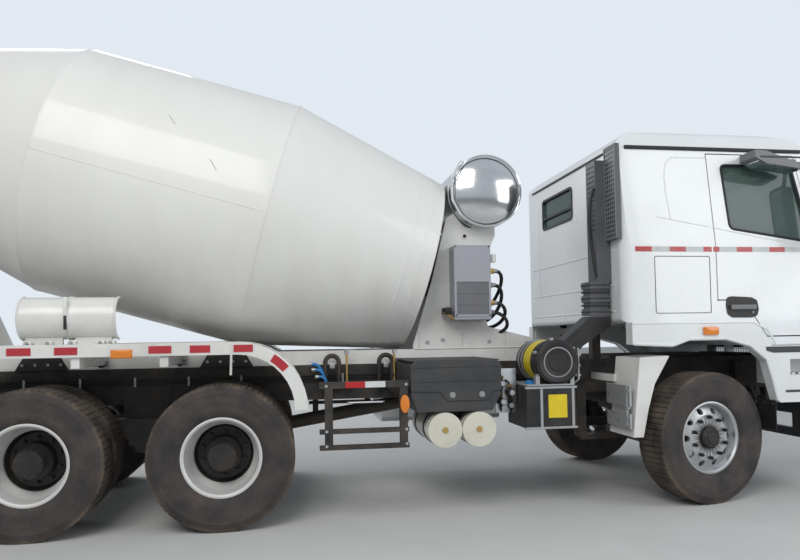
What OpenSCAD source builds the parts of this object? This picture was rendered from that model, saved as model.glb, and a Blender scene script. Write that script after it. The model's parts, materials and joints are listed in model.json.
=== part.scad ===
// Concrete mixer truck with three axles.
// +X is forward, +Y is to the left, +Z is up, and the ground is at z = 0.
// The origin is under the middle of the truck's length.

/* [Running gear] */
// From the front axle to the first rear axle
wheelbase = 3900; // [3800:10:4050]
// From the first rear axle to the second
bogie = 1350; // [1320:10:1420]
// Outer diameter of the tyres
tyre_od = 1080; // [1060:10:1095]
// Width of one tyre
tyre_w = 310; // [295:5:320]
// Diameter over the rims' edges
rim_d = 594; // [584:2:604]
// Between the middles of two twin tyres
twin_pitch = 350; // [345:5:360]
// Width over the outer faces of the tyres
track_w = 2470; // [2450:5:2480]
// Angle by which the front wheels stand turned to the left
steer = 12; // [0:1:14]
// From a front tyre's outer face in to its kingpin
scrub = 250; // [240:5:260]

/* [Chassis] */
// Width over the two frame rails
frame_w = 834; // [820:2:850]
// Height of a frame rail
frame_h = 300; // [280:5:310]
// Width of a rail's flange
flange_w = 80; // [70:5:90]
// Plate thickness of a rail
rail_t = 9; // [7:1:12]
// Top of the frame above the ground
frame_top = 1180; // [1170:5:1190]
// From the front axle to the bumper's face
front_overhang = 1440; // [1420:10:1480]
// From the second rear axle to the rear end of the rails
frame_tail = 1130; // [1100:10:1160]
// Width over mudguards and guards
body_w = 2500; // [2490:5:2520]
// Height of the mixer's subframe beams
subframe_h = 120; // [100:5:130]

/* [Cab] */
// Width of the cab
cab_w = 2300; // [2260:10:2320]
// Length of the cab from its rear wall to its front wall
cab_len = 2050; // [2030:10:2060]
// From the bumper's face back to the cab's front wall
cab_setback = 60; // [50:5:70]
// Highest point of the roof
cab_top = 3150; // [3120:10:3200]
// Underside of the cab floor
cab_floor = 1500; // [1490:5:1510]
// Height of the roof over the walls
roof_h = 165; // [150:5:180]
// Thickness of the cab's walls and doors
wall = 60; // [50:5:70]
// Clear gap round doors and flaps
gap = 10; // [9:1:12]

/* [Drum] */
// Angle of the drum's axis, rising to the rear
drum_tilt = 15; // [14:0.5:16]
// From the first rear axle forward to the middle of the drum's front head
drum_front = 1721; // [1700:5:1740]
// Height of the middle of the drum's front head
drum_z = 2074; // [2065:5:2100]
// Radius of the flat front head
head_r = 800; // [780:10:810]
// Radius where the front cone meets the barrel
drum_r = 1115; // [1090:5:1120]
// Radius where the barrel meets the rear cone
barrel_r = 1080; // [1060:5:1090]
// Radius of the drum's mouth
mouth_r = 550; // [530:10:570]
// Length of the front cone, along the axis
front_cone = 1420; // [1380:10:1450]
// Length of the barrel
barrel_len = 1780; // [1740:10:1800]
// Length of the rear cone
rear_cone = 1850; // [1820:10:1880]
// Thickness of the drum's shell
shell_t = 10; // [8:1:14]
// Radius of the ring that runs on the rollers
ring_r = 825; // [815:5:835]
// From the rear end of the drum forward to the ring
ring_back = 750; // [730:10:770]
// Radius of a roller
roller_r = 130; // [120:5:140]
// From the drum's mouth back to the hopper's rear lip
hopper_back = 703; // [680:1:730]

/* [Hidden] */
$fn = 72;

// Derived places
drum_len = front_cone + barrel_len + rear_cone;
mouth_back = drum_len * cos(drum_tilt) - drum_front;
total_l = front_overhang + wheelbase + mouth_back + hopper_back;
bumper_x = total_l / 2;
steer_x = bumper_x - front_overhang;
mid_x = steer_x - wheelbase;
rear_x = mid_x - bogie;
lip_x = mid_x - mouth_back - hopper_back;
frame_end_x = rear_x - frame_tail;
frame_half = frame_w / 2;
body_half = body_w / 2;
wheel_r = tyre_od / 2;
tyre_y = track_w / 2 - tyre_w / 2;
kingpin_y = track_w / 2 - scrub;
sub_top = frame_top + subframe_h;
cab_back = cab_len - front_overhang + cab_setback;
gutter_z = cab_top - roof_h;
fit = 0.05;
seat = 0.3;

function unit(v) = v / norm(v);
function reversed(list) = [for (i = [len(list) - 1 : -1 : 0]) list[i]];

// A polygon's outline moved inwards by t, for points listed anticlockwise
function inset(p, t) = [
  for (i = [0 : len(p) - 1])
    let (
      n = len(p),
      u = unit(p[i] - p[(i + n - 1) % n]),
      v = unit(p[(i + 1) % n] - p[i]),
      nu = [-u[1], u[0]],
      nv = [-v[1], v[0]]
    )
    p[i] + t * (nu + nv) / (1 + nu * nv)
];

// The two tangent points and the centre of a corner rounded by r
function corner(p, i, r) =
  let (
    n = len(p),
    u = unit(p[(i + n - 1) % n] - p[i]),
    v = unit(p[(i + 1) % n] - p[i]),
    half = acos(u * v) / 2,
    reach = r / tan(half)
  )
  [p[i] + u * reach, p[i] + v * reach, p[i] + unit(u + v) * r / sin(half)];

// A polygon whose outer corners are rounded by the radii of the list, 0 for a sharp one
module rounded(points, radii) {
  corners = [for (i = [0 : len(points) - 1]) radii[i] > 0 ? corner(points, i, radii[i]) : 0];
  polygon([
    for (i = [0 : len(points) - 1])
      each (radii[i] > 0 ? [corners[i][0], corners[i][1]] : [points[i]])
  ]);
  for (i = [0 : len(points) - 1])
    if (radii[i] > 0) translate(corners[i][2]) circle(radii[i]);
}

// A plate of thickness t whose outline is drawn in x and z, from y = 0 towards +y
module side_plate(t) {
  translate([0, t, 0]) rotate([90, 0, 0]) linear_extrude(t) children();
}

// The same, standing evenly about y = 0
module side_slab(t) {
  translate([0, -t / 2, 0]) side_plate(t) children();
}

// An outline drawn in y and z, extruded from x0 to x1
module along_x(x0, x1) {
  translate([x0, 0, 0]) rotate([90, 0, 90]) linear_extrude(x1 - x0) children();
}

module both_sides() {
  children();
  mirror([0, 1, 0]) children();
}

// A round bar from a to b
module rod(a, b, d) {
  v = b - a;
  translate(a)
    rotate([0, acos(v[2] / norm(v)), atan2(v[1], v[0])])
      cylinder(d = d, h = norm(v));
}

// A block from its lowest corner to its highest
module block(a, b) {
  translate(a) cube(b - a);
}

// An outline drawn in x and y, standing from z0 to z1
module upright(z0, z1) {
  translate([0, 0, z0]) linear_extrude(z1 - z0) children();
}

// A cylinder along Y, centred on p
module cross_pin(p, d, len) {
  translate(p) rotate([90, 0, 0]) cylinder(d = d, h = len, center = true);
}

// Frame
cab_rear_x = steer_x - cab_back;
cab_front_x = cab_rear_x + cab_len;
tilt_x = bumper_x - 100;
tilt_z = frame_top - 230;
rail_front_x = tilt_x - 60;
pivot_d = 40;
tow_z = frame_top - 212;
tow_h = 65;
tow_d = 36;
tow_t = 15;
web_in = frame_half - rail_t - seat;
// Middles of the crossmembers, from the first rear axle
// and how far each is cut away below for the propeller shaft
cross_places = [
  [-bogie - frame_tail + 60, 0], [-bogie - 520, 0], [-bogie / 2, 0], [560, 0], [1500, 0], [2350, 110]
];

module rail_profile() {
  difference() {
    translate([frame_half - flange_w, frame_top - frame_h]) square([flange_w, frame_h]);
    translate([frame_half - flange_w - 1, frame_top - frame_h + rail_t])
      square([flange_w - rail_t + 1, frame_h - 2 * rail_t]);
  }
}

module frame() {
  color([0.07, 0.07, 0.08]) {
    both_sides() {
      along_x(frame_end_x, rail_front_x) rail_profile();
      // Bracket that carries the cab's front pivot
      translate([0, frame_half - 40, 0])
        side_plate(30)
          polygon([
            [rail_front_x - 120, frame_top], [rail_front_x - 120, frame_top - frame_h],
            [tilt_x - 10, tilt_z - 40], [tilt_x + 35, tilt_z - 30],
            [tilt_x + 35, tilt_z + 35], [rail_front_x, frame_top - 60], [rail_front_x, frame_top]
          ]);
      cross_pin([tilt_x, frame_half + 5, tilt_z], pivot_d, 90);
      // Leg of the cab's rear support
      block([cab_rear_x + 40, frame_half - flange_w, frame_top - 1],
            [cab_rear_x + 120, frame_half, cab_floor - 90 - seat]);
    }
    // Crossmembers, seated between the rails' webs
    for (place = cross_places)
      let (x = mid_x + place[0])
        block([x - 35, -web_in, frame_top - frame_h + 45 + place[1]], [x + 35, web_in, frame_top - 45]);
    // Front crossmember and the towing jaw with its bore for a pin
    block([rail_front_x - 160, -web_in, frame_top - frame_h + rail_t + seat],
          [rail_front_x - 90, web_in, frame_top - frame_h + 120]);
    difference() {
      block([rail_front_x - 91, -70, tow_z - tow_h / 2], [rail_front_x + 20, 70, tow_z + tow_h / 2]);
      block([rail_front_x - 60, -71, tow_z - tow_h / 2 + tow_t],
            [rail_front_x + 21, 71, tow_z + tow_h / 2 - tow_t]);
      translate([rail_front_x - 20, 0, tow_z - tow_h]) cylinder(d = tow_d, h = 2 * tow_h);
    }
    // Beam of the cab's rear support with its two pads
    block([cab_rear_x + 40, -frame_half, cab_floor - 90],
          [cab_rear_x + 120, frame_half, cab_floor - 30]);
    both_sides()
      translate([cab_rear_x + 80, frame_half - 50, cab_floor - 31])
        cylinder(d = 70, h = 31 - seat);
  }
}

// Mixer subframe with its front and rear pedestals
drum_x = mid_x + drum_front;
up_axis = [sin(drum_tilt), 0, cos(drum_tilt)];
rear_axis = [-cos(drum_tilt), 0, sin(drum_tilt)];
head_p = [drum_x, 0, drum_z];
ring_s = drum_len - ring_back;
ring_p = head_p + ring_s * rear_axis;
roller_angle = 33;
roller_reach = ring_r + roller_r + seat;
roller_p = ring_p - roller_reach * cos(roller_angle) * up_axis;
roller_y = roller_reach * sin(roller_angle);
roller_len = 110;
drive_len = 470;
motor_r = 90;
sub_half = frame_half - 5;
tank_r = 322;
tank_x = mid_x + 2250;
tank_z = 2700;
tank_half = 620;
arm_x = frame_end_x - 430;
arm_z = sub_top + 180;
arm_y = roller_y + roller_r + 20;
head_beam_x = roller_p[0] - 145;
head_beam_z = roller_p[2] - 240;

module subframe() {
  color([0.93, 0.93, 0.9]) union() {
    both_sides() {
      // Long beam on the rail
      block([frame_end_x + 20, frame_half - flange_w, frame_top],
            [drum_x + 1030, frame_half - 5, sub_top]);
      // Side plate of the front pedestal
      translate([0, frame_half - 30, 0])
        side_plate(25)
          polygon([
            [drum_x - 130, sub_top - 1], [drum_x + 1030, sub_top - 1],
            [drum_x + 960, sub_top + 90], [drum_x + 560, sub_top + 190],
            [drum_x + 440, sub_top + 560], [tank_x + 110, tank_z - tank_r - 60],
            [tank_x + 60, tank_z - tank_r - 12], [tank_x - 60, tank_z - tank_r - 12],
            [tank_x - 180, tank_z - 300], [drum_x + 250, drum_z + 440], [drum_x + 190, drum_z + 400],
            [drum_x + 50, drum_z - 160], [drum_x - 130, sub_top + 40]
          ]);
      // Leg of the rear pedestal
      translate([0, frame_half - 75, 0])
        side_plate(70)
          polygon([
            [frame_end_x + 20, sub_top - 1], [frame_end_x + 520, sub_top - 1],
            [head_beam_x + 440, head_beam_z + 1], [head_beam_x + 200, head_beam_z + 1],
            [frame_end_x - 30, head_beam_z - 120]
          ]);
    }
    // Plate that carries the drum's gearbox
    translate(head_p - drive_len * rear_axis)
      rotate([0, drum_tilt - 90, 0])
        difference() {
          translate([-190, -frame_half + 6, -20]) cube([400, frame_w - 12, 20]);
          translate([0, 0, -30]) cylinder(r = motor_r + 5, h = 40);
        }
    // Saddle under the water tank
    difference() {
      block([tank_x - 110, -frame_half + 5, tank_z - tank_r - 62],
            [tank_x + 110, frame_half - 5, tank_z - tank_r + 40]);
      translate([tank_x, 0, tank_z]) rotate([90, 0, 0])
        cylinder(r = tank_r + seat, h = 2000, center = true);
    }
    // Head beam of the rear pedestal, with a cradle under each roller
    block([head_beam_x, -arm_y, head_beam_z], [head_beam_x + 290, arm_y, head_beam_z + 80]);
    both_sides()
      for (end = [-1, 1])
        translate(roller_p + [0, roller_y, 0])
          rotate([0, drum_tilt - 90, 0])
            translate([-200, -55, end * (roller_len / 2 + 24) - 14])
              difference() {
                cube([245, 110, 28]);
                translate([200, 55, -1]) cylinder(d = 50 + 2 * fit, h = 30);
              }
    // Cross beams
    for (x = [frame_end_x + 20, mid_x - bogie / 2, drum_x - 700, drum_x + 40])
      block([x, -frame_half + flange_w - 1, frame_top + 20], [x + 80, frame_half - flange_w + 1, sub_top]);
    // Pivot post of the swinging chute
    block([arm_x - 60, -90, frame_top + 30], [frame_end_x + 30, 90, frame_top + 110]);
    translate([arm_x, 0, frame_top + 30]) cylinder(d = 160, h = arm_z - frame_top - 30 - seat);
    translate([arm_x, 0, frame_top + 30]) cylinder(d = 60, h = arm_z - frame_top - 30 + 75);
  }
}

// Bumper
module bumper() {
  bumper_top = frame_top - 250;
  side_x = steer_x + 1080;
  color([0.2, 0.2, 0.21]) union() {
    difference() {
      upright(400, bumper_top) rounded(
        [[side_x, -body_half], [bumper_x, -body_half], [bumper_x, body_half], [side_x, body_half]],
        [0, 180, 180, 0]);
      upright(399, bumper_top + 1) rounded(
        [[side_x - 10, -body_half + 50], [bumper_x - 50, -body_half + 50],
         [bumper_x - 50, body_half - 50], [side_x - 10, body_half - 50]],
        [0, 130, 130, 0]);
      // Lamp openings and the middle grille slot
      both_sides()
        block([bumper_x - 60, 690, 560], [bumper_x + 1, 1050, 800]);
      block([bumper_x - 60, -420, 480], [bumper_x + 1, 420, 620]);
    }
    both_sides()
      block([rail_front_x - 100, frame_half - 58, tilt_z - 240],
            [bumper_x - 49, frame_half + 2, tilt_z - 100]);
    // Bar under the rails, behind the towing pin's way out
    block([rail_front_x - 160, -frame_half, tilt_z - 240],
          [rail_front_x - 60, frame_half, frame_top - frame_h - seat]);
  }
}

// Lamps: head lamps, tail lamps and side markers
module lamps() {
  color([0.9, 0.9, 0.85]) both_sides() {
    block([bumper_x - 49, 690 + seat, 560 + seat], [bumper_x - 6, 1050 - seat, 800 - seat]);
    block([frame_end_x - 15, 620, 680 + seat], [frame_end_x + 50, 980, 800]);
  }
}

// Axles with the banjo housings and the beam with its kingpin eyes
hub_z = wheel_r;
spindle_d = 100;
front_beam_z = hub_z - 130;
banjo_cut = 170;

// Inner face of the rear hubs, and where their bore ends inside the outer tyre's middle
hub_in_y = tyre_y - twin_pitch / 2 - 100;
hub_end = 100;
module axle_tube(x) {
  translate([x, 0, hub_z]) {
    rotate([90, 0, 0]) cylinder(d = 150, h = 2 * (hub_in_y - seat), center = true);
    rotate([90, 0, 0]) cylinder(d = spindle_d, h = 2 * (tyre_y - hub_end - 2), center = true);
    difference() {
      sphere(r = 235);
      for (turn = [0, 180])
        rotate([0, 0, turn]) rotate([90, 0, 90]) translate([0, 0, banjo_cut]) cylinder(r = 300, h = 100);
    }
    both_sides()
      rotate([90, 0, 0]) translate([0, 0, hub_in_y - 30]) cylinder(d = 260, h = 30 - seat);
  }
}

module axles() {
  color([0.1, 0.1, 0.1]) {
    axle_tube(mid_x);
    axle_tube(rear_x);
    difference() {
      union() {
        block([steer_x - 45, -kingpin_y + 260, front_beam_z - 50],
              [steer_x + 45, kingpin_y - 260, front_beam_z + 50]);
        both_sides() {
          along_x(steer_x - 45, steer_x + 45)
            polygon([
              [kingpin_y - 261, front_beam_z - 50], [kingpin_y - 75, hub_z - 60],
              [kingpin_y - 20, hub_z - 60], [kingpin_y - 20, hub_z + 60],
              [kingpin_y - 110, hub_z + 60], [kingpin_y - 261, front_beam_z + 50]
            ]);
          translate([steer_x, kingpin_y, hub_z - 65]) cylinder(d = 104, h = 130);
        }
      }
      both_sides()
        translate([steer_x, kingpin_y, hub_z - 100]) cylinder(d = 46 + 2 * fit, h = 200);
    }
  }
}

// Leaf springs, their hangers and the bogie's trunnion
spring_y = frame_half + 52;
spring_w = 84;
module leaf_pack(x, z, half, count, t) {
  for (i = [0 : count - 1])
    translate([x, 0, z + i * t])
      cube([2 * half * (1 - i / (count + 2)), spring_w, t], center = true);
}

module springs() {
  color([0.09, 0.09, 0.09]) both_sides() {
    // Bogie spring on its trunnion, seated on both axles
    translate([0, spring_y, 0]) {
      leaf_pack(mid_x - bogie / 2, hub_z + 75 + 10 + seat, bogie / 2 + 70, 8, 20);
      cross_pin([mid_x - bogie / 2, 0, hub_z + 30], 150, spring_w);
      translate([mid_x - bogie / 2, 0, hub_z + 60]) cube([240, spring_w, 80], center = true);
    }
    translate([0, frame_half + 0.5, 0])
      side_plate(9)
        polygon([
          [mid_x - bogie / 2 - 240, frame_top - 40], [mid_x - bogie / 2 - 90, hub_z - 50],
          [mid_x - bogie / 2 + 90, hub_z - 50], [mid_x - bogie / 2 + 240, frame_top - 40]
        ]);
    // Front spring on the beam
    translate([0, spring_y, 0]) {
      leaf_pack(steer_x, front_beam_z + 50 + 14 + seat, 800, 3, 28);
    }
    for (end = [-1, 1])
      translate([0, frame_half + 0.5, 0])
        side_plate(94)
          polygon([
            [steer_x + end * 790 - 45, frame_top - 60],
            [steer_x + end * 790 - 40, front_beam_z + 79],
            [steer_x + end * 790 + 40, front_beam_z + 79],
            [steer_x + end * 790 + 45, frame_top - 60]
          ]);
  }
}

// Engine and gearbox under the cab, with the radiator in front
module engine() {
  color([0.3, 0.31, 0.32]) {
    block([steer_x - 420, -320, frame_top - 420], [steer_x + 760, 320, cab_floor - 290]);
    block([steer_x + 900, -320, frame_top - 260], [steer_x + 1010, 320, cab_floor - 290]);
    // Feet against the rails' webs
    for (x = [steer_x - 300, steer_x + 500, steer_x + 910])
      block([x, -web_in, frame_top - 230], [x + 90, web_in, frame_top - 150]);
  }
}

module driveline() {
  // Flanges on the banjo housings, as x and z
  flanges = [
    [mid_x + banjo_cut + seat, hub_z + 60], [mid_x - 240, hub_z + 60], [rear_x + banjo_cut + seat, hub_z + 20]
  ];
  color([0.15, 0.15, 0.16]) {
    // Gearbox, seated on the engine's rear face
    translate([steer_x - 420 - seat, 0, frame_top - 190]) rotate([0, -90, 0])
      cylinder(r1 = 230, r2 = 150, h = 760);
    rod([steer_x - 1179, 0, frame_top - 190], [mid_x + 225, 0, hub_z + 60], 120);
    rod([mid_x - 225, 0, hub_z + 60], [rear_x + 225, 0, hub_z + 20], 110);
    for (p = flanges)
      translate([p[0], 0, p[1]]) rotate([0, 90, 0]) cylinder(d = 150, h = 240 - banjo_cut - seat);
  }
}

// Tanks and boxes on the frame's sides
module fuel_tank() {
  x0 = mid_x + 1420;
  x1 = mid_x + 2640;
  color([0.75, 0.76, 0.77]) {
    translate([x0, 0, 0]) along_x(0, x1 - x0)
      rounded(
        [[frame_half + 60, 560], [body_half - 30, 560], [body_half - 30, 1120], [frame_half + 60, 1120]],
        [60, 110, 110, 60]);
    for (x = [x0 + 250, x1 - 250])
      translate([x - 35, 0, 0]) along_x(0, 70)
        translate([frame_half + 0.5, 900]) square([60.5, 200]);
  }
}

batt_x = mid_x + 1420;
module battery_box() {
  color([0.16, 0.17, 0.18]) {
    translate([0, -body_half + 10, 0])
      side_plate(body_half - frame_half - 10 - seat)
        polygon([
          [batt_x + 50, 830], [batt_x + 640, 830], [batt_x + 710, 960],
          [batt_x + 710, 1190], [batt_x + 680, 1220], [batt_x + 30, 1220],
          [batt_x, 1190], [batt_x, 960]
        ]);
  }
}

module air_tanks() {
  color([0.9, 0.9, 0.86])
    for (x = [batt_x + 260, batt_x + 530]) {
      translate([x, -body_half + 60, 690]) rotate([-90, 0, 0]) cylinder(d = 268, h = 640);
      translate([x, -body_half + 60, 690]) intersection() {
        sphere(r = 240);
        translate([0, -62, 0]) rotate([-90, 0, 0]) cylinder(d = 268, h = 62);
      }
      block([x - 30, -body_half + 300, 815], [x + 30, -body_half + 360, 829.7]);
    }
}

module fluid_tank() {
  x0 = mid_x + 2350;
  color([0.08, 0.08, 0.09]) {
    block([x0, -body_half + 40, 670], [x0 + 410, -body_half + 520, 1000]);
    for (x = [x0 + 40, x0 + 290])
      block([x, -body_half + 519, 900], [x + 80, -frame_half - seat, 990]);
  }
}

cleaner_p = [mid_x + 2625, 0, 1190];
cleaner_r = 175;
// Outer side of the air duct on the cab's rear wall, and its width and depth
duct_y = -cab_w / 2 + 220;
duct_w = 180;
duct_d = 130;
module air_cleaner() {
  color([0.07, 0.07, 0.08]) {
    union() {
      translate([cleaner_p[0], -body_half + 60, cleaner_p[2]]) rotate([-90, 0, 0])
        cylinder(r = cleaner_r, h = 520);
      // Duct up to the bellows under the snorkel
      translate([0, duct_y, 0])
        side_plate(duct_w)
          polygon([
            [cleaner_p[0] + 60, cleaner_p[2] + 60], [cleaner_p[0] + 150, cleaner_p[2] - 60],
            [cleaner_p[0] + 330, 1310], [cab_rear_x - 20, 1480], [cab_rear_x - 20, 1560],
            [cab_rear_x - 200, 1560], [cleaner_p[0] + 120, 1320]
          ]);
      block([cleaner_p[0] - 100, -body_half + 300, 1020], [cleaner_p[0] + 60, -frame_half - 0.5, 1060]);
    }
  }
}

// Side guards and the rear guard
module guards() {
  guard_h0 = 570;
  color([0.08, 0.08, 0.08]) {
    both_sides() {
      for (z = [guard_h0, 690, 1030])
        block([mid_x + 720, body_half - 45, z], [mid_x + 1400, body_half - 5, z + (z > 1000 ? 50 : 35)]);
      for (x = [mid_x + 760, mid_x + 1330])
        block([x, body_half - 44, guard_h0], [x + 60, body_half - 6, 1079]);
      block([mid_x + 780, frame_half + 0.5, 960], [mid_x + 820, body_half - 44, 1010]);
      block([mid_x + 1340, frame_half + 0.5, 960], [mid_x + 1380, body_half - 44, 1010]);
    }
    // Rear bar with its two hangers
    block([frame_end_x - 20, -1150, 560], [frame_end_x + 60, 1150, 680]);
    both_sides()
      block([frame_end_x, frame_half - 60, 560], [frame_end_x + 50, frame_half, frame_top - frame_h]);
  }
}

// Mudguards: one long guard over both rear axles, and the rear half of the front one
guard_top = 1390;
guard_low = 880;
guard_r = guard_top - guard_low;
function guard_edge(r) = [
  for (a = [0 : 10 : 90]) [mid_x + 121 + r * cos(a), guard_low + r * sin(a)],
  for (a = [90 : 10 : 180]) [rear_x - 130 + r * cos(a), guard_low + r * sin(a)]
];

module guard_band(t) {
  polygon(concat(guard_edge(guard_r), reversed(guard_edge(guard_r - t))));
}

module mudguards() {
  color([0.93, 0.93, 0.92]) both_sides() {
    translate([0, body_half - 640, 0]) side_plate(640) guard_band(9);
    translate([0, body_half - 6, 0]) side_plate(6) guard_band(90);
    // Bearers from the frame
    for (x = [mid_x - 430, mid_x - 1040])
      block([x, sub_half + seat, frame_top + 40], [x + 60, body_half - 20, guard_top - 8]);
    block([steer_x - 650, frame_half + seat, 1000], [steer_x - 610, body_half - 380, 1060]);
    // Wall and outer face of the front guard
    translate([0, body_half - 420, 0])
      side_plate(420)
        polygon([
          [steer_x - 675, 575], [steer_x - 665, 575], [steer_x - 595, 1205], [steer_x - 350, 1215],
          [steer_x - 350, 1225], [steer_x - 603, 1215]
        ]);
    translate([0, body_half - 8, 0])
      side_plate(8)
        polygon([
          [steer_x - 670, 575], [steer_x - 590, 575], [steer_x - 540, 800], [steer_x - 480, 1000],
          [steer_x - 350, 1216], [steer_x - 600, 1210]
        ]);
  }
}

// Gearbox and hydraulic motor of the drum
hub_out = 55;
module drum_drive() {
  color([0.2, 0.22, 0.24])
    translate(head_p)
      rotate([0, 90 + drum_tilt, 0]) {
        translate([0, 0, hub_out + seat]) cylinder(r = 170, h = 60);
        translate([0, 0, hub_out + 55]) cylinder(r = 245, h = 260);
        translate([0, 0, hub_out + 310]) cylinder(r = 190, h = drive_len - hub_out - 310 - seat);
        translate([0, 0, drive_len - 2]) cylinder(r = motor_r, h = 190);
      }
}

module oil_cooler() {
  x0 = mid_x + 1930;
  color([0.6, 0.62, 0.63]) {
    block([x0, -frame_half - 190, 1580], [x0 + 320, -frame_half + 4.5, 2200]);
  }
}

module water_tank() {
  dome = 90;
  dome_r = (tank_r * tank_r + dome * dome) / (2 * dome);
  color([0.8, 0.81, 0.82])
    translate([tank_x, 0, tank_z]) {
      rotate([-90, 0, 0]) rotate_extrude($fn = 96)
        intersection() {
          translate([0, -tank_half]) square([tank_r, 2 * tank_half]);
          translate([0, tank_half - dome_r]) circle(dome_r, $fn = 240);
          translate([0, dome_r - tank_half]) circle(dome_r, $fn = 240);
        }
    }
}

// Hopper over the mouth and the funnel under it
mouth_p = head_p + drum_len * rear_axis;
arm_bend_z = head_beam_z + 460;
rim_p = mouth_p - mouth_r * up_axis;
module hopper() {
  z_top = mouth_p[2] + 590;
  z_low = mouth_p[2] + 60;
  x_in = mouth_p[0] - 60;
  color([0.93, 0.93, 0.9]) {
    difference() {
      hull() {
        block([lip_x, -560, z_top - 10], [x_in, 560, z_top]);
        block([x_in - 180, -240, z_low], [x_in + 160, 240, z_low + 10]);
      }
      hull() {
        block([lip_x + 10, -550, z_top - 9], [x_in - 10, 550, z_top + 1]);
        block([x_in - 170, -230, z_low - 1], [x_in + 150, 230, z_low + 10]);
      }
    }
    // Funnel that catches what the drum pours
    difference() {
      hull() {
        block([rim_p[0] - 300, -430, rim_p[2] - 110], [rim_p[0] + 100, 430, rim_p[2] - 100]);
        block([arm_x - 140, -150, arm_z + 430], [arm_x + 110, 150, arm_z + 440]);
      }
      hull() {
        block([rim_p[0] - 290, -420, rim_p[2] - 109], [rim_p[0] + 90, 420, rim_p[2] - 99]);
        block([arm_x - 130, -140, arm_z + 429], [arm_x + 100, 140, arm_z + 439]);
      }
    }
    difference() {
      block([rim_p[0] - 300, -430, rim_p[2] - 101], [rim_p[0] - 30, 430, rim_p[2] + 200]);
      block([rim_p[0] - 290, -420, rim_p[2] - 102], [rim_p[0] - 20, 420, rim_p[2] + 201]);
    }
    // Bracket from the rear pedestal to the funnel
    block([rim_p[0] + 180, -50, head_beam_z + 10], [head_beam_x - seat, 50, head_beam_z + 60]);
    // Arms that carry the hopper
    both_sides() {
      translate([0, arm_y + seat, 0])
        side_plate(30)
          polygon([
            [head_beam_x + 40, head_beam_z], [head_beam_x + 120, head_beam_z],
            [head_beam_x + 120, arm_bend_z], [x_in - 80, z_top - 100], [x_in - 80, z_top - 20],
            [x_in - 160, z_top - 20], [x_in - 160, z_top - 100], [head_beam_x + 40, arm_bend_z]
          ]);
      block([x_in - 150, 515, z_top - 90], [x_in - 90, arm_y + 5, z_top - 40]);
    }
  }
}

// Ladder and platform on the right
ladder_x = rear_x - 1050;
ladder_w = 360;
ladder_lean = 140;
ladder_foot = 700;
rung_pitch = 290;
deck_z = 2700;
module ladder() {
  foot_y = -body_half + 60;
  head_y = foot_y + ladder_lean;
  color([0.85, 0.85, 0.83]) {
    for (x = [ladder_x, ladder_x + ladder_w])
      rod([x, foot_y, ladder_foot], [x, head_y, deck_z + 50], 34);
    for (i = [0 : 6])
      let (z = ladder_foot + 50 + i * rung_pitch,
           y = foot_y + ladder_lean * (z - ladder_foot) / (deck_z + 50 - ladder_foot))
        rod([ladder_x, y, z], [ladder_x + ladder_w, y, z], 26);
    // Deck beside the drum's mouth, and the rails that tie it to the rear pedestal
    block([ladder_x - 900, head_y - 60, deck_z], [ladder_x + 15, -arm_y - 90, deck_z + 30]);
    for (x = [head_beam_x + 10, head_beam_x + 170]) {
      block([x, -arm_y - 130, head_beam_z + 10], [x + 25, -arm_y - seat, head_beam_z + 70]);
      block([x, -arm_y - 130, head_beam_z + 10], [x + 25, -arm_y - 90, deck_z + 1]);
    }
    for (x = [ladder_x, ladder_x + ladder_w])
      block([x - 15, foot_y + 15, frame_top - 60], [x + 15, -frame_half, frame_top - 20]);
  }
}

// The two chute lengths that are carried on the right mudguard
module spare_chutes() {
  r = 155;
  color([0.92, 0.92, 0.9])
    translate([0, -body_half + 60 + r, guard_top + 40 + r])
      for (x0 = [mid_x - 1420, mid_x - 1080]) {
        translate([x0, 0, 0])
          difference() {
            rotate([0, 90, 0]) cylinder(r = r, h = 330);
            translate([-1, 0, 0]) rotate([0, 90, 0]) cylinder(r = r - 6, h = 332);
            block([-1, 0, -r - 1], [332, r + 1, r + 1]);
          }
        block([x0 + 40, -70, seat - 40 - r], [x0 + 290, -40, 10 - sqrt(r * r - 40 * 40)]);
      }
}

module roller() {
  color([0.3, 0.3, 0.32])
    rotate([0, drum_tilt - 90, 0]) {
      cylinder(r = roller_r, h = roller_len, center = true);
      cylinder(d = 50, h = roller_len + 90, center = true);
    }
}

// Rollers under the drum's ring
module roller_right() {
  translate([roller_p[0], -roller_y, roller_p[2]]) roller();
}

module roller_left() {
  translate([roller_p[0], roller_y, roller_p[2]]) roller();
}

// Swinging arm, chute and folding flap, parked to the left
park = -75;
chute_r = 210;
chute_len = 1150;
chute_head = 180;
trough_t = 6;
flap_len = 600;
tilt_pin_z = 120;
pin_flap = 24;
flap_pivot = [chute_head - chute_len - 10, chute_r + 150 + 22];
module at_arm() {
  translate([arm_x, 0, arm_z]) rotate([0, 0, park]) children();
}

module chute_arm() {
  color([0.9, 0.9, 0.88]) at_arm()
    difference() {
      union() {
        cylinder(d = 150, h = 70);
        block([-40, -chute_r - 50, 10], [40, chute_r + 50, 60]);
        for (side = [-1, 1])
          translate([0, side * (chute_r + 40) - 10, 0])
            side_plate(20) polygon([[-60, 10], [60, 10], [30, tilt_pin_z + 30], [-30, tilt_pin_z + 30]]);
      }
      translate([0, 0, -1]) cylinder(d = 60 + 2 * fit, h = 120);
      cross_pin([0, 0, tilt_pin_z], 30 + 2 * fit, 800);
    }
}

module trough(len, r, t) {
  difference() {
    rotate([0, -90, 0]) cylinder(r = r, h = len);
    translate([1, 0, 0]) rotate([0, -90, 0]) cylinder(r = r - t, h = len + 2);
    block([-len - 1, -r - 1, 0], [1, r + 1, r + 1]);
  }
}

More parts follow.
